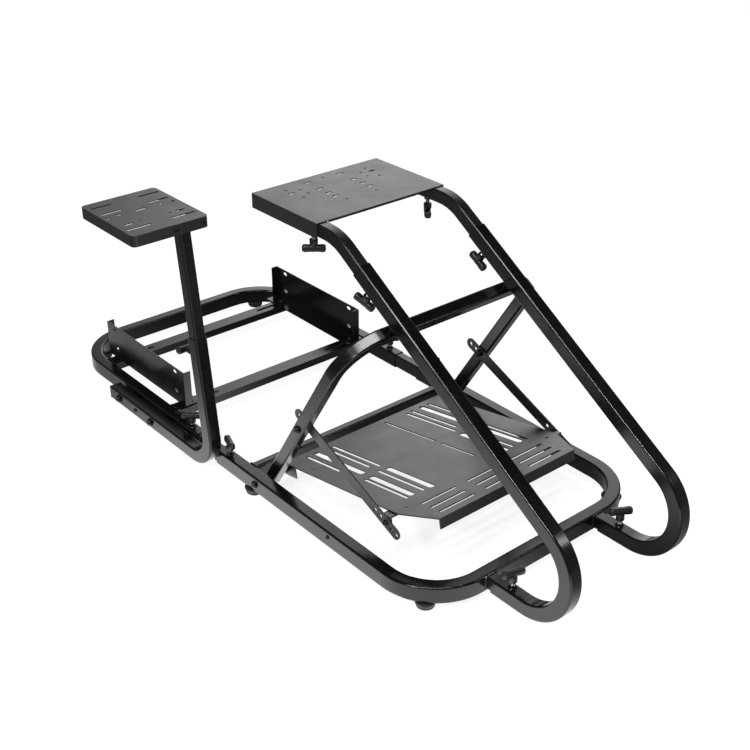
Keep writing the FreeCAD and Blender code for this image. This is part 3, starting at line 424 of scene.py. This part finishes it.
@dataclass(frozen=True)
class KnobRow:
    """Like clamp knobs of one CAD node.

    Attributes:
        node: The CAD node.
        body: The body that they ride on.
        stud: Height in mm of the solid's stud, from its seat to its hub.
        bare: Height of the stud that shows, up to the foot of the hub.
        axis: The way that the studs point.
        zero: The way that a handle with no twist points.
        seats: Each knob's place in mm, and its handle's twist in degrees towards +Y.
    """

    node: str
    body: Body
    stud: float
    bare: float
    axis: Triple
    zero: Triple
    seats: tuple[tuple[Triple, float], ...]


@dataclass
class ClampKnobs:
    """T-handled clamp knobs, each on a threaded stud in a hex nut that is welded to its tube.

    Attributes:
        site: The cockpit's datum.
        stud_radius: The stud's thread, in mm.
        pitch: The thread's pitch.
        thread_root: The thread's root as a share of the stud's radius.
        thread_crest: Where its flat crest starts and ends, as shares of the pitch.
        stud_points: Points round the stud.
        hub_radius: The hub under the handle.
        hub_height: Its height from the end of the solid's stud to the handle.
        hub_foot: How far out of the hub's radius each ring at its foot lies, and how far up.
        hub_neck: Likewise for the rings below and in the handle, up from the handle's underside.
        handle_height: The handle's height.
        handle_points: Points round the handle.
        squareness: The power that squares the handle's section; 2 is an ellipse.
        nut_across: The weld nut from flat to flat.
        nut_height: Its height.
        nut_points: Points round the nut.
        fillet: Radius and height of each ring of the weld at the nut's foot.
        lobes: Along the handle, half its width and half its height; the lobes swell past a slim waist.
    """

    site: Site
    stud_radius: float = 4.0
    pitch: float = 1.25
    thread_root: float = 0.86
    thread_crest: Pair = (0.4, 0.6)
    stud_points: int = 20
    hub_radius: float = 8.5
    hub_height: float = 9.0
    hub_foot: tuple[Pair, ...] = ((-1.2, 0.0), (-0.3, 0.5), (0.0, 1.5))
    hub_neck: tuple[Pair, ...] = ((-0.6, -1.0), (-1.6, 1.0), (-3.0, 3.0))
    handle_height: float = 14.0
    handle_points: int = 28
    squareness: int = 3
    nut_across: float = 13.0
    nut_height: float = 6.5
    nut_points: int = 24
    fillet: tuple[Pair, ...] = ((9.0, -0.3), (8.9, 0.4), (8.3, 1.2), (7.5, 1.8), (6.2, 2.2))
    lobes: tuple[Triple, ...] = (
        (0.0, 7.2, 7.2), (5.0, 6.8, 6.8), (9.0, 6.9, 7.0), (14.0, 7.3, 7.5), (18.5, 7.2, 7.5),
        (21.2, 6.4, 6.8), (22.6, 4.9, 5.4), (23.2, 2.6, 3.3))

    def rows(self) -> list[KnobRow]:
        """Lists the knobs.

        Returns:
            The six rows of knobs, one for each CAD node.
        """
        sine, cosine = POST_SLOPE
        lean_sine, lean_cosine = SHIFTER_LEAN
        up, down, ahead, left = (0.0, 0.0, 1.0), (0.0, 0.0, -1.0), (1.0, 0.0, 0.0), (0.0, 1.0, 0.0)
        return [
            KnobRow("rear_rail_knobs", Body.REAR, stud=12, bare=11.5, axis=up, zero=ahead,
                    seats=(((-212, 285, 50), 50), ((-212, -285, 50), 50))),
            KnobRow("front_rail_knobs", Body.FRONT, stud=12, bare=11.5, axis=up, zero=ahead,
                    seats=(((-66, 285, 50), 35), ((-66, -285, 50), -19))),
            KnobRow("post_arm_knobs", Body.FRONT, stud=18, bare=14.5, axis=up, zero=ahead,
                    seats=(((630, 147, 50), 60), ((630, -147, 50), 75))),
            KnobRow("post_sleeve_knobs", Body.FRONT, stud=18, bare=14.5, axis=(-sine, 0, -cosine),
                    zero=(cosine, 0, -sine), seats=(((233.2, 147, 495.7), 0), ((233.2, -147, 495.7), 19))),
            KnobRow("wheel_plate_knobs", Body.WHEEL, stud=18, bare=14.5, axis=down, zero=ahead,
                    seats=(((63, 147, 559.5), -40), ((63, -147, 559.5), 50))),
            KnobRow("shifter_knob", Body.REAR, stud=18, bare=14.5, axis=(-lean_cosine, 0, -lean_sine),
                    zero=left, seats=(((-117.75, -319, 283.9), 0),)),
        ]

    def build(self) -> None:
        """Makes a piece of handles, one of studs and one of nuts for each row."""
        for row in self.rows():
            handles = Piece(f"{row.node}_handles", row.body, "knob_plastic", NYLON)
            studs = Piece(f"{row.node}_studs", row.body, "zinc_steel", ZINC)
            nuts = Piece(f"{row.node}_weld_nuts", row.body, "tube_steel", TUBE_COAT)
            for where, twist in row.seats:
                angle = math.radians(twist)
                along = Vector(row.zero) * math.cos(angle) + Vector((0, 1, 0)) * math.sin(angle)
                place = stand(self.site.at(*where), row.axis, along)
                self.add_handle(handles, place, row)
                self.add_stud(studs, place, row.stud)
                self.add_nut(nuts, place)
            handles.make([row.node])
            studs.make()
            nuts.make()

    def add_handle(self, piece: Piece, place: Matrix, row: KnobRow) -> None:
        """Adds a hub and a two-lobed handle.

        Args:
            piece: The piece of handles.
            place: The seat of the knob's stud.
            row: The row that the knob is in.
        """
        foot, top, radius = row.bare, row.stud + self.hub_height, self.hub_radius
        hub = [(self.stud_radius, foot)]
        hub += [(radius + out, foot + up) for out, up in self.hub_foot]
        hub += [(radius + out, top + up) for out, up in self.hub_neck]
        piece.turn(hub, place)
        middle = top + self.handle_height / 2
        halves = [(-x, w, h) for x, w, h in reversed(self.lobes[1:])] + list(self.lobes)
        power = self.squareness
        rings = []
        for x, half_width, half_height in halves:
            ring = []
            for i in range(self.handle_points):
                angle = 2 * math.pi * i / self.handle_points
                bulge = (abs(math.cos(angle)) ** power + abs(math.sin(angle)) ** power) ** (-1 / power)
                ring.append(Vector((x, half_width * bulge * math.cos(angle),
                                    middle + half_height * bulge * math.sin(angle))))
            rings.append(ring)
        piece.loft(rings, place)

    def add_stud(self, piece: Piece, place: Matrix, stud: float) -> None:
        """Adds a threaded stud from inside the nut to inside the hub.

        Args:
            piece: The piece of studs.
            place: The stud's seat.
            stud: The height of the solid's stud.
        """
        turns = math.ceil((stud - 1) / self.pitch)
        crest_start, crest_end = self.thread_crest
        profile = []
        for i in range(turns):
            height = 1 + i * self.pitch
            profile += [(self.stud_radius * self.thread_root, height),
                        (self.stud_radius, height + self.pitch * crest_start),
                        (self.stud_radius, height + self.pitch * crest_end)]
        piece.turn(profile, place, self.stud_points)

    def add_nut(self, piece: Piece, place: Matrix) -> None:
        """Adds a hex nut and the fillet of weld at its foot.

        Args:
            piece: The piece of nuts.
            place: The seat of the knob's stud.
        """
        across, top, count = self.nut_across, self.nut_height, self.nut_points
        piece.loft([hexagon(across, -0.2, count), hexagon(across, top - 1.1, count),
                    hexagon(across, top - 0.5, count, across * NUT_CUT),
                    circle(across * NUT_FACE, top, count),
                    circle(self.stud_radius + 0.4, top, count),
                    circle(self.stud_radius + 0.2, top - 1.0, count)], place)
        piece.turn(self.fillet, place)


@dataclass
class RubberFeet:
    """Turned rubber feet with a screw's recess underneath.

    Attributes:
        nodes: Each CAD node of feet and its body.
        taper: How much narrower a foot is at the floor, in mm.
        recess: Radius of the recess.
        points: Points round a foot.
    """

    nodes: tuple[tuple[str, Body], ...] = (
        ("front_feet", Body.FRONT), ("middle_feet", Body.FRONT), ("rear_feet", Body.REAR))
    taper: float = 3.0
    recess: float = 5.0
    points: int = 40

    def build(self) -> None:
        """Makes one piece for each pair of feet, where the CAD has them."""
        for node, body in self.nodes:
            low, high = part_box(node)
            radius = (high.x - low.x) / 2 / MM
            height = (high.z - low.z) / MM
            foot = radius - self.taper
            # The rings go from the recess across the sole, and up the wall past a groove to the rim.
            profile = [(self.recess - 0.6, 4.0), (self.recess, 3.6), (self.recess, 0.9),
                       (self.recess + 0.9, 0.0), (foot - 2.2, 0.0), (foot - 0.8, 0.5), (foot, 1.8),
                       (foot + 0.5, 4.0), (foot + 0.2, 4.7), (foot + 0.7, 5.4), (radius - 0.5, height - 3.4),
                       (radius, height - 2.4), (radius, height - 1.0), (radius - 0.7, height)]
            piece = Piece(f"{node}_rubber", body, "foot_rubber", RUBBER)
            for y in (high.y - radius * MM, low.y + radius * MM):
                piece.turn(profile, Matrix.Translation(((low.x + high.x) / 2, y, low.z)), self.points)
            piece.make([node])


@dataclass(frozen=True)
class Fastener:
    """A fastener in a row of its like.

    Attributes:
        at: Its seat in mm, at the driver's left where it has a twin.
        axis: The way that it points, at the left.
        size: The thread's diameter in mm.
        head: What shows of it.
        washer: Whether a washer lies under it.
        sides: Which sides have one: 1 for left and -1 for right.
    """

    at: Triple
    axis: Triple
    size: float
    head: Head
    washer: bool = True
    sides: tuple[int, ...] = (1, -1)


@dataclass
class Fasteners:
    """The bolts, screws and nuts that hold the frame's pieces to each other.

    Attributes:
        site: The cockpit's datum.
        points: Points round a ring.
        washer: A washer's radius and thickness, as shares of the thread's diameter.
        button: A domed head's radius and height and its socket from flat to flat, likewise.
        nut: A nut from flat to flat and its height, likewise.
        dome_steps: Rings up a domed head.
        dome_turns: How far the dome turns inward and upward from its rim, in radians.
    """

    site: Site
    points: int = 24
    washer: Pair = (1.06, 0.2)
    button: Triple = (0.88, 0.55, 0.62)
    nut: Pair = (1.62, 0.8)
    dome_steps: int = 6
    dome_turns: Pair = (0.95, 1.45)

    def rows(self) -> list[tuple[str, Body, Finish, list[Fastener]]]:
        """Lists the fasteners.

        Returns:
            Each piece's name, body, finish and fasteners.
        """
        sine, cosine = POST_SLOPE
        out, inward, up, ahead = (0.0, 1.0, 0.0), (0.0, -1.0, 0.0), (0.0, 0.0, 1.0), (1.0, 0.0, 0.0)
        return [
            ("hoop_foot_bolts", Body.FRONT, BOLT_BLACK, [
                Fastener((40.8, 299, 33.4), out, 8, Head.BUTTON),
                Fastener((283, 299, 37), out, 5, Head.BUTTON, washer=False)]),
            ("hoop_bar_nuts", Body.FRONT, ZINC, [
                Fastener((283.3, 147, 420.0), (-sine, 0, -cosine), 8, Head.NUT)]),
            ("link_bolts", Body.FRONT, BOLT_BLACK, [
                Fastener((145.5, 261, 200.3), out, 8, Head.BUTTON),
                Fastener((145.5, 234, 200.3), inward, 8, Head.NUT),
                Fastener((383.6, 237, 98.8), out, 6, Head.BUTTON),
                Fastener((383.6, 231, 98.8), inward, 6, Head.NUT)]),
            ("pivot_nuts", Body.FRONT, BOLT_BLACK, [
                Fastener((44.7, 216.5, 39.6), inward, 6, Head.NUT)]),
            ("shifter_arm_bolts", Body.REAR, BOLT_BLACK, [
                Fastener((-451, 333.5, 32), out, 9, Head.BUTTON, sides=(-1,)),
                Fastener((-314, 333.5, 32), out, 9, Head.BUTTON, sides=(-1,)),
                Fastener((-379, 333.5, 33), out, 5, Head.BUTTON, washer=False, sides=(-1,))]),
            ("shifter_plate_screws", Body.SHIFTER, BOLT_BLACK, [
                Fastener((-115.6, 340, 557), ahead, 5, Head.BUTTON, washer=False, sides=(-1,)),
                Fastener((-115.6, 280, 558), ahead, 5, Head.BUTTON, washer=False, sides=(-1,))]),
            ("seat_bracket_bolts", Body.REAR, BOLT_BLACK, [
                Fastener((-305, 233, 52.5), up, 8, Head.BUTTON),
                Fastener((-591, 233, 52.5), up, 8, Head.BUTTON)]),
        ]

    def build(self) -> None:
        """Makes each row as one piece."""
        for name, body, finish, fasteners in self.rows():
            piece = Piece(name, body, "zinc_steel", finish)
            for fastener in fasteners:
                for side in fastener.sides:
                    x, y, z = fastener.at
                    axis = Vector(fastener.axis)
                    axis.y *= side
                    self.add(piece, fastener, stand(self.site.at(x, y * side, z), axis))
            piece.make(sharp=30.0)

    def add(self, piece: Piece, fastener: Fastener, place: Matrix) -> None:
        """Adds one fastener to a piece.

        Args:
            piece: The piece that takes it.
            fastener: What it is.
            place: Where it stands.
        """
        size, foot = fastener.size, 0.0
        if fastener.washer:
            rim, foot = (size * share for share in self.washer)
            piece.turn([(rim - 0.3, -0.3), (rim, 0.2), (rim, foot - 0.25), (rim - 0.3, foot),
                        (size * 0.6, foot)], place)
        if fastener.head is Head.BUTTON:
            self.add_button(piece, size, foot, place)
        else:
            self.add_nut(piece, size, foot, place)

    def add_button(self, piece: Piece, size: float, foot: float, place: Matrix) -> None:
        """Adds a domed head with a hexagon socket.

        Args:
            piece: The piece that takes it.
            size: The thread's diameter.
            foot: The height of the head's seat.
            place: Where the fastener stands.
        """
        radius, height, socket = (size * share for share in self.button)
        inward_turn, upward_turn = self.dome_turns
        count, top = self.points, foot
        rings = [circle(radius - 0.2, foot - 0.1, count)]
        for i in range(self.dome_steps):
            part = i / self.dome_steps
            top = foot + 0.3 + height * math.sin(part * upward_turn)
            rings.append(circle(radius * math.cos(part * inward_turn), top, count))
        rings += [hexagon(socket, top + 0.05, count), hexagon(socket * 0.96, top - height * 0.7, count)]
        piece.loft(rings, place)

    def add_nut(self, piece: Piece, size: float, foot: float, place: Matrix) -> None:
        """Adds a nut with two turns of the bolt's end above it.

        Args:
            piece: The piece that takes it.
            size: The thread's diameter.
            foot: The height of the nut's seat.
            place: Where the fastener stands.
        """
        across, height = (size * share for share in self.nut)
        end, count = foot + height, self.points
        rings = [hexagon(across, foot - 0.1, count, across * NUT_FOOT), hexagon(across, foot + 0.5, count),
                 hexagon(across, end - 0.7, count), hexagon(across, end - 0.3, count, across * NUT_CUT)]
        thread = [(across * NUT_FACE, end), (size * 0.56, end), (size * 0.5, end - 0.5),
                  (size * 0.5, end + 0.3), (size * 0.44, end + 0.7), (size * 0.5, end + 1.2),
                  (size * 0.49, end + 1.9), (size * 0.4, end + 2.5)]
        rings += [circle(radius, level, count) for radius, level in thread]
        piece.loft(rings, place)


@dataclass
class WeldBeads:
    """Rippled fillets of weld round the tubes that end against another tube.

    Attributes:
        radius: The bead's radius in mm.
        ripple: How much of that the ripples swell it by.
        pitch: Ripple to ripple.
        step: Ring to ring along the bead.
        corner: The radius of the tubes' corners.
        sides: Points round the bead.
        tubes: Each CAD node that is welded at both ends, and its body.
        stubs: The CAD nodes that are welded at their rear ends.
    """

    radius: float = 2.3
    ripple: float = 0.13
    pitch: float = 2.6
    step: float = 0.9
    corner: float = 3.0
    sides: int = 8
    tubes: tuple[tuple[str, Body], ...] = (
        ("middle_cross_tube", Body.FRONT), ("seat_rail_rear", Body.REAR), ("seat_rail_front", Body.REAR))
    stubs: tuple[str, ...] = ("post_stub_left", "post_stub_right")

    def build(self) -> None:
        """Makes a piece of beads for each tube across the frame, and one for the stubs."""
        for node, body in self.tubes:
            low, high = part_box(node)
            piece = Piece(f"{node}_welds", body, "tube_steel", TUBE_COAT)
            for y in (low.y, high.y):
                self.add_bead(piece, Vector(((low.x + high.x) / 2, y, (low.z + high.z) / 2)), (0, 1, 0),
                              (high.x - low.x) / 2 / MM, (high.z - low.z) / 2 / MM)
            piece.make()
        piece = Piece("post_stub_welds", Body.FRONT, "tube_steel", TUBE_COAT)
        for node in self.stubs:
            low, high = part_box(node)
            self.add_bead(piece, Vector((low.x, (low.y + high.y) / 2, (low.z + high.z) / 2)), (1, 0, 0),
                          (high.y - low.y) / 2 / MM, (high.z - low.z) / 2 / MM)
        piece.make()

    def add_bead(self, piece: Piece, middle: Vector, axis: Sequence[float],
                 half_a: float, half_b: float) -> None:
        """Adds a closed bead round a tube's end.

        Args:
            piece: The piece that takes it.
            middle: The middle of the tube's end.
            axis: The tube's own way.
            half_a: Half the tube's level side in mm.
            half_b: Half its upright side in mm.
        """
        level = Vector((0, 0, 1)).cross(Vector(axis))
        place = stand(middle, axis, level)
        path = rounded_rectangle(half_a, half_b, self.corner, self.step)
        rings = []
        for i, here in enumerate(path):
            way = (path[(i + 1) % len(path)] - path[i - 1]).normalized()
            out = Vector((way.y, -way.x, 0))
            swell = self.radius * (1 + self.ripple * math.sin(2 * math.pi * i * self.step / self.pitch))
            rings.append([here + swell * (math.cos(t) * out + math.sin(t) * Vector((0, 0, 1)))
                          for t in (2 * math.pi * k / self.sides for k in range(self.sides))])
        piece.loft(rings, place, closed=True)


@dataclass
class TubePlugs:
    """Moulded plugs in the rear ends of the wheel arms.

    Attributes:
        nodes: The CAD nodes of the wheel arms.
        depth: A wheel arm's upright side in mm.
        width: Its level side.
        corner: The radius of its corners.
        least_corner: The smallest radius of a plug's corners.
        profile: How far in from the tube's side, and how far out of its end, each ring of a plug lies.
    """

    nodes: tuple[str, ...] = ("wheel_arm_left", "wheel_arm_right")
    depth: float = 27.4
    width: float = 25.4
    corner: float = 4.0
    least_corner: float = 1.0
    profile: tuple[Pair, ...] = (
        (2.2, -8.0), (2.0, -0.2), (0.0, 0.0), (0.0, 1.2), (0.5, 2.2), (1.8, 3.0))

    def build(self) -> None:
        """Makes both plugs as one piece."""
        piece = Piece("wheel_arm_plugs", Body.WHEEL, "cap_plastic", NYLON)
        for node in self.nodes:
            low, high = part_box(node)
            middle = Vector((low.x, (low.y + high.y) / 2, high.z - self.depth / 2 * MM))
            rings = []
            for inset, height in self.profile:
                outline = rounded_rectangle(self.width / 2 - inset, self.depth / 2 - inset,
                                            max(self.corner - inset, self.least_corner), math.inf)
                rings.append([point + Vector((0, 0, height)) for point in outline])
            piece.loft(rings, stand(middle, (-1, 0, 0), (0, 1, 0)))
        piece.make()


@dataclass(frozen=True)
class Softbox:
    """A rectangular soft light.

    Attributes:
        name: Its name.
        at: Its place in metres, with X from the middle cross tube.
        aim: The place that it faces, likewise.
        sides: Its level side and its other one.
        watts: Its power.
    """

    name: str
    at: Triple
    aim: Triple
    sides: Pair
    watts: float

    def hang(self, cross: Vector) -> None:
        """Makes the light.

        Args:
            cross: The middle of the middle cross tube.
        """
        data = bpy.data.lights.new(self.name, "AREA")
        data.shape = "RECTANGLE"
        data.size, data.size_y = self.sides
        data.energy = self.watts
        box = bpy.data.objects.new(self.name, data)
        bpy.context.collection.objects.link(box)
        box.location = Vector(self.at) + Vector((cross.x, 0, 0))
        box.rotation_euler = (Vector(self.at) - Vector(self.aim)).to_track_quat("Z", "Y").to_euler()


@dataclass
class Studio:
    """The camera, the pale floor and the soft light.

    Attributes:
        camera_from_cross: Camera place from the middle of the middle cross tube, in mm.
        yaw: Heading of the view from +X towards +Y, in degrees.
        pitch: Tilt of the view above level, in degrees.
        focal_px: Focal length in pixels of the square picture.
        picture_px: Side of the square picture in pixels.
        sensor_mm: Width of the camera's sensor.
        sight: How far the camera sees, in metres.
        floor_side: Side of the floor in metres.
        floor_greys: The floor's own sRGB hex colour, inside the base and outside it.
        floor_glows: What the floor adds where it is seen, so that it shows white, inside and outside.
        inside_middle: The middle of the base's inside, in metres.
        inside_half: Half the base's inside along X and Y.
        inside_edge: How far out the inside ends and the outside begins, as shares of that half.
        bright_side: Y at which the floor beside the cockpit starts to show white in glossy faces, where it
            is whitest, and where it has faded.
        side_glow: How much whiter than the rest that floor shows there.
        far_glow: What the floor shows in glossy faces on the other side of the cockpit.
        faded_glow: What is left of the glow where the bright side has faded.
        side_fade: X at which that floor has faded towards the rear, and where the fade begins.
        rear_glow: What is left of it there.
        overhead: Brightness of the room overhead.
        overhead_edge: Sine of the height at which the room starts to darken, and at which it is dark.
        front_wall: Brightness of the room on the camera's side.
        back_wall: Brightness of the room behind the cockpit.
        back_heading: Heading of that wall's middle from +X towards +Y, in degrees.
        back_edge: Degrees from there at which the wall starts to darken, and at which it is dark.
        lamp_strength: The lamp's strength.
        lamp_spread: How wide the lamp looks, in degrees.
        lamp_from: The way to the lamp.
        softboxes: The soft lights overhead and at the front left.
    """

    camera_from_cross: Triple = (1808.8, -1460.2, 1431.1)
    yaw: float = 139.97
    pitch: float = -29.15
    focal_px: float = 1230.1
    picture_px: float = 750.0
    sensor_mm: float = 36.0
    sight: float = 100.0
    floor_side: float = 30.0
    floor_greys: tuple[str, str] = ("#969696", "#7A7A7A")
    floor_glows: Pair = (0.84, 0.92)
    inside_middle: Triple = (0.2, 0.0685, 0.0)
    inside_half: Triple = (0.34, 0.27, 1.0)
    inside_edge: Pair = (0.85, 1.1)
    bright_side: Triple = (0.14, -0.17, -0.78)
    side_glow: float = 2.3
    far_glow: float = 0.2
    faded_glow: float = 0.1
    side_fade: Pair = (-0.6, -0.15)
    rear_glow: float = 0.3
    overhead: float = 0.03
    overhead_edge: Pair = (0.52, 0.8)
    front_wall: float = 0.25
    back_wall: float = 2.25
    back_heading: float = 130.0
    back_edge: Pair = (12.5, 26.0)
    lamp_strength: float = 1.3
    lamp_spread: float = 7.0
    lamp_from: Triple = (0.18, -0.78, 0.6)
    softboxes: tuple[Softbox, ...] = (
        Softbox("strip_light", (0.72, -0.7, 2.4), (0.72, -0.7, 0.0), (0.26, 2.4), 48.0),
        Softbox("front_softbox", (2.04, 1.43, 1.82), (0.62, 0.0, 0.19), (0.4, 0.55), 9.0),
    )

    def place_camera(self, cross: Vector) -> None:
        """Makes the camera at the photograph's place.

        Args:
            cross: The middle of the middle cross tube.
        """
        data = bpy.data.cameras.new("camera")
        data.sensor_width = self.sensor_mm
        data.lens = self.sensor_mm * self.focal_px / self.picture_px
        data.clip_end = self.sight
        camera = bpy.data.objects.new("camera", data)
        bpy.context.collection.objects.link(camera)
        yaw, pitch = math.radians(self.yaw), math.radians(self.pitch)
        look = Vector((math.cos(yaw) * math.cos(pitch), math.sin(yaw) * math.cos(pitch), math.sin(pitch)))
        camera.location = cross + Vector(self.camera_from_cross) * MM
        camera.rotation_euler = look.to_track_quat("-Z", "Y").to_euler()
        bpy.context.scene.camera = camera

    def lay_floor(self) -> None:
        """Makes the pale floor, which shows white and keeps the shadows."""
        half = self.floor_side / 2
        mesh = bpy.data.meshes.new("floor")
        corners = [(-half, -half, 0), (half, -half, 0), (half, half, 0), (-half, half, 0)]
        mesh.from_pydata(corners, [], [(0, 1, 2, 3)])
        floor = bpy.data.objects.new("floor", mesh)
        bpy.context.collection.objects.link(floor)
        material = bpy.data.materials.new("white_paper_sweep")
        material.use_nodes = True
        tree = material.node_tree
        tree.nodes.clear()
        place = add_node(tree, "ShaderNodeTexCoord").outputs["Object"]
        outside = self.off_the_inside(tree, place)
        # Sockets 6 and 7 take the two colours of a mix, and output 2 gives the result.
        colour = add_node(tree, "ShaderNodeMix", {"data_type": "RGBA"}, {0: outside})
        colour.inputs[6].default_value = linear(self.floor_greys[0])
        colour.inputs[7].default_value = linear(self.floor_greys[1])
        matt = add_node(tree, "ShaderNodeBsdfDiffuse", links={"Color": colour.outputs[2]})
        glow = add_node(tree, "ShaderNodeEmission", links={"Strength": self.seen_glow(tree, place, outside)})
        both = add_node(tree, "ShaderNodeAddShader", links={0: matt.outputs[0], 1: glow.outputs[0]})
        add_node(tree, "ShaderNodeOutputMaterial", links={"Surface": both.outputs[0]})
        mesh.materials.append(material)

    def off_the_inside(self, tree: Tree, place: Socket) -> Socket:
        """How far a point of the floor is outside the base's rails.

        Args:
            tree: The floor's node tree.
            place: The point.

        Returns:
            0 well inside the base, 1 outside it.
        """
        shifted = add_node(tree, "ShaderNodeVectorMath", {"operation": "SUBTRACT"}, {0: place})
        shifted.inputs[1].default_value = self.inside_middle
        share = add_node(tree, "ShaderNodeVectorMath", {"operation": "DIVIDE"},
                         {0: shifted.outputs["Vector"]})
        share.inputs[1].default_value = self.inside_half
        size = add_node(tree, "ShaderNodeVectorMath", {"operation": "ABSOLUTE"},
                        {0: share.outputs["Vector"]})
        sides = add_node(tree, "ShaderNodeSeparateXYZ", links={"Vector": size.outputs["Vector"]}).outputs
        far = add_node(tree, "ShaderNodeMath", {"operation": "MAXIMUM"}, {0: sides["X"], 1: sides["Y"]})
        edge = add_node(tree, "ShaderNodeMapRange", SMOOTH, {"Value": far.outputs[0]},
                        From_Min=self.inside_edge[0], From_Max=self.inside_edge[1])
        return edge.outputs["Result"]

    def seen_glow(self, tree: Tree, place: Socket, outside: Socket) -> Socket:
        """The floor's own glow for the rays that show it.

        Args:
            tree: The floor's node tree.
            place: The point on the floor.
            outside: How far it is outside the base.

        Returns:
            A strength for rays from the camera, for those off a glossy or clear surface the strength of
            the bright floor beside the cockpit, and none for the rest.
        """
        path = add_node(tree, "ShaderNodeLightPath").outputs
        mirrored = add_node(tree, "ShaderNodeMath", {"operation": "MAXIMUM"},
                            {0: path["Is Glossy Ray"], 1: path["Is Transmission Ray"]})
        spot = add_node(tree, "ShaderNodeSeparateXYZ", links={"Vector": place}).outputs
        start, full, end = self.bright_side
        rise = add_node(tree, "ShaderNodeMapRange", SMOOTH, {"Value": spot["Y"]},
                        From_Min=full, From_Max=start, To_Min=self.side_glow, To_Max=self.far_glow)
        fall = add_node(tree, "ShaderNodeMapRange", SMOOTH, {"Value": spot["Y"]},
                        From_Min=end, From_Max=full, To_Min=self.faded_glow, To_Max=1.0)
        rearward = add_node(tree, "ShaderNodeMapRange", SMOOTH, {"Value": spot["X"]},
                            From_Min=self.side_fade[0], From_Max=self.side_fade[1],
                            To_Min=self.rear_glow, To_Max=1.0)
        shown = mirrored
        for share in (rise, fall, rearward):
            shown = add_node(tree, "ShaderNodeMath", {"operation": "MULTIPLY"},
                             {0: shown.outputs[0], 1: share.outputs["Result"]})
        seen = add_node(tree, "ShaderNodeMath", {"operation": "MAXIMUM"},
                        {0: path["Is Camera Ray"], 1: shown.outputs[0]})
        glow = add_node(tree, "ShaderNodeMapRange", links={"Value": outside},
                        To_Min=self.floor_glows[0], To_Max=self.floor_glows[1])
        strength = add_node(tree, "ShaderNodeMath", {"operation": "MULTIPLY"},
                            {0: seen.outputs[0], 1: glow.outputs["Result"]})
        return strength.outputs[0]

    def light_room(self) -> None:
        """Makes a white room that is dark overhead and brightest behind, and the key lamp."""
        world = bpy.data.worlds.new("white_room")
        bpy.context.scene.world = world
        world.use_nodes = True
        tree = world.node_tree
        tree.nodes.clear()
        way = add_node(tree, "ShaderNodeTexCoord").outputs["Generated"]
        up = add_node(tree, "ShaderNodeSeparateXYZ", links={"Vector": way}).outputs["Z"]
        low = add_node(tree, "ShaderNodeMapRange", SMOOTH, {"Value": up},
                       From_Min=self.overhead_edge[0], From_Max=self.overhead_edge[1],
                       To_Min=1.0, To_Max=self.overhead)
        side = self.wall_level(tree, way)
        both = add_node(tree, "ShaderNodeMath", {"operation": "MULTIPLY"},
                        {0: low.outputs["Result"], 1: side})
        path = add_node(tree, "ShaderNodeLightPath")
        level = add_node(tree, "ShaderNodeMath", {"operation": "MAXIMUM"},
                         {0: both.outputs[0], 1: path.outputs["Is Camera Ray"]})
        back = add_node(tree, "ShaderNodeBackground", links={"Strength": level.outputs[0]},
                        Color=(1, 1, 1, 1))
        add_node(tree, "ShaderNodeOutputWorld", links={"Surface": back.outputs[0]})
        data = bpy.data.lights.new("key_lamp", "SUN")
        data.energy = self.lamp_strength
        data.angle = math.radians(self.lamp_spread)
        lamp = bpy.data.objects.new("key_lamp", data)
        bpy.context.collection.objects.link(lamp)
        lamp.rotation_euler = Vector(self.lamp_from).to_track_quat("Z", "Y").to_euler()

    def wall_level(self, tree: Tree, way: Socket) -> Socket:
        """How bright the room's wall is in a given way.

        Args:
            tree: The world's node tree.
            way: The way that is looked.

        Returns:
            The brightness, which is greatest behind the cockpit.
        """
        flat = add_node(tree, "ShaderNodeVectorMath", {"operation": "MULTIPLY"}, {0: way})
        flat.inputs[1].default_value = (1.0, 1.0, 0.0)
        heading = add_node(tree, "ShaderNodeVectorMath", {"operation": "NORMALIZE"},
                           {0: flat.outputs["Vector"]})
        behind = add_node(tree, "ShaderNodeVectorMath", {"operation": "DOT_PRODUCT"},
                          {0: heading.outputs["Vector"]})
        middle = math.radians(self.back_heading)
        behind.inputs[1].default_value = (math.cos(middle), math.sin(middle), 0.0)
        near, far = (math.cos(math.radians(edge)) for edge in self.back_edge)
        level = add_node(tree, "ShaderNodeMapRange", SMOOTH, {"Value": behind.outputs["Value"]},
                         From_Min=far, From_Max=near, To_Min=self.front_wall, To_Max=self.back_wall)
        return level.outputs["Result"]


def dress_nodes(frame: dict) -> None:
    """Gives each CAD node its own finish, or that of its slot.
    """
    slots = {part["node"]: part["material_slot"] for part in frame["record"]["subparts"]}
    for name, thing in frame["nodes"].items():
        thing.data.materials.clear()
        thing.data.materials.append(NODE_FINISHES.get(name, SLOT_FINISHES[slots[name]]).build())
        LOG.info("dressed %s", name)


def main() -> None:
    """Loads the frame, dresses it, adds its pieces and sets the studio."""
    logging.basicConfig(level=logging.INFO, format="%(message)s")
    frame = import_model()
    bpy.context.scene.view_settings.view_transform = "Standard"
    dress_nodes(frame)
    low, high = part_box("middle_cross_tube")
    site = Site((low + high) / 2)
    ClampKnobs(site).build()
    RubberFeet().build()
    Fasteners(site).build()
    WeldBeads().build()
    TubePlugs().build()
    studio = Studio()
    studio.place_camera(site.cross)
    studio.lay_floor()
    studio.light_room()
    for softbox in studio.softboxes:
        softbox.hang(site.cross)


if __name__ == "__main__":
    main()
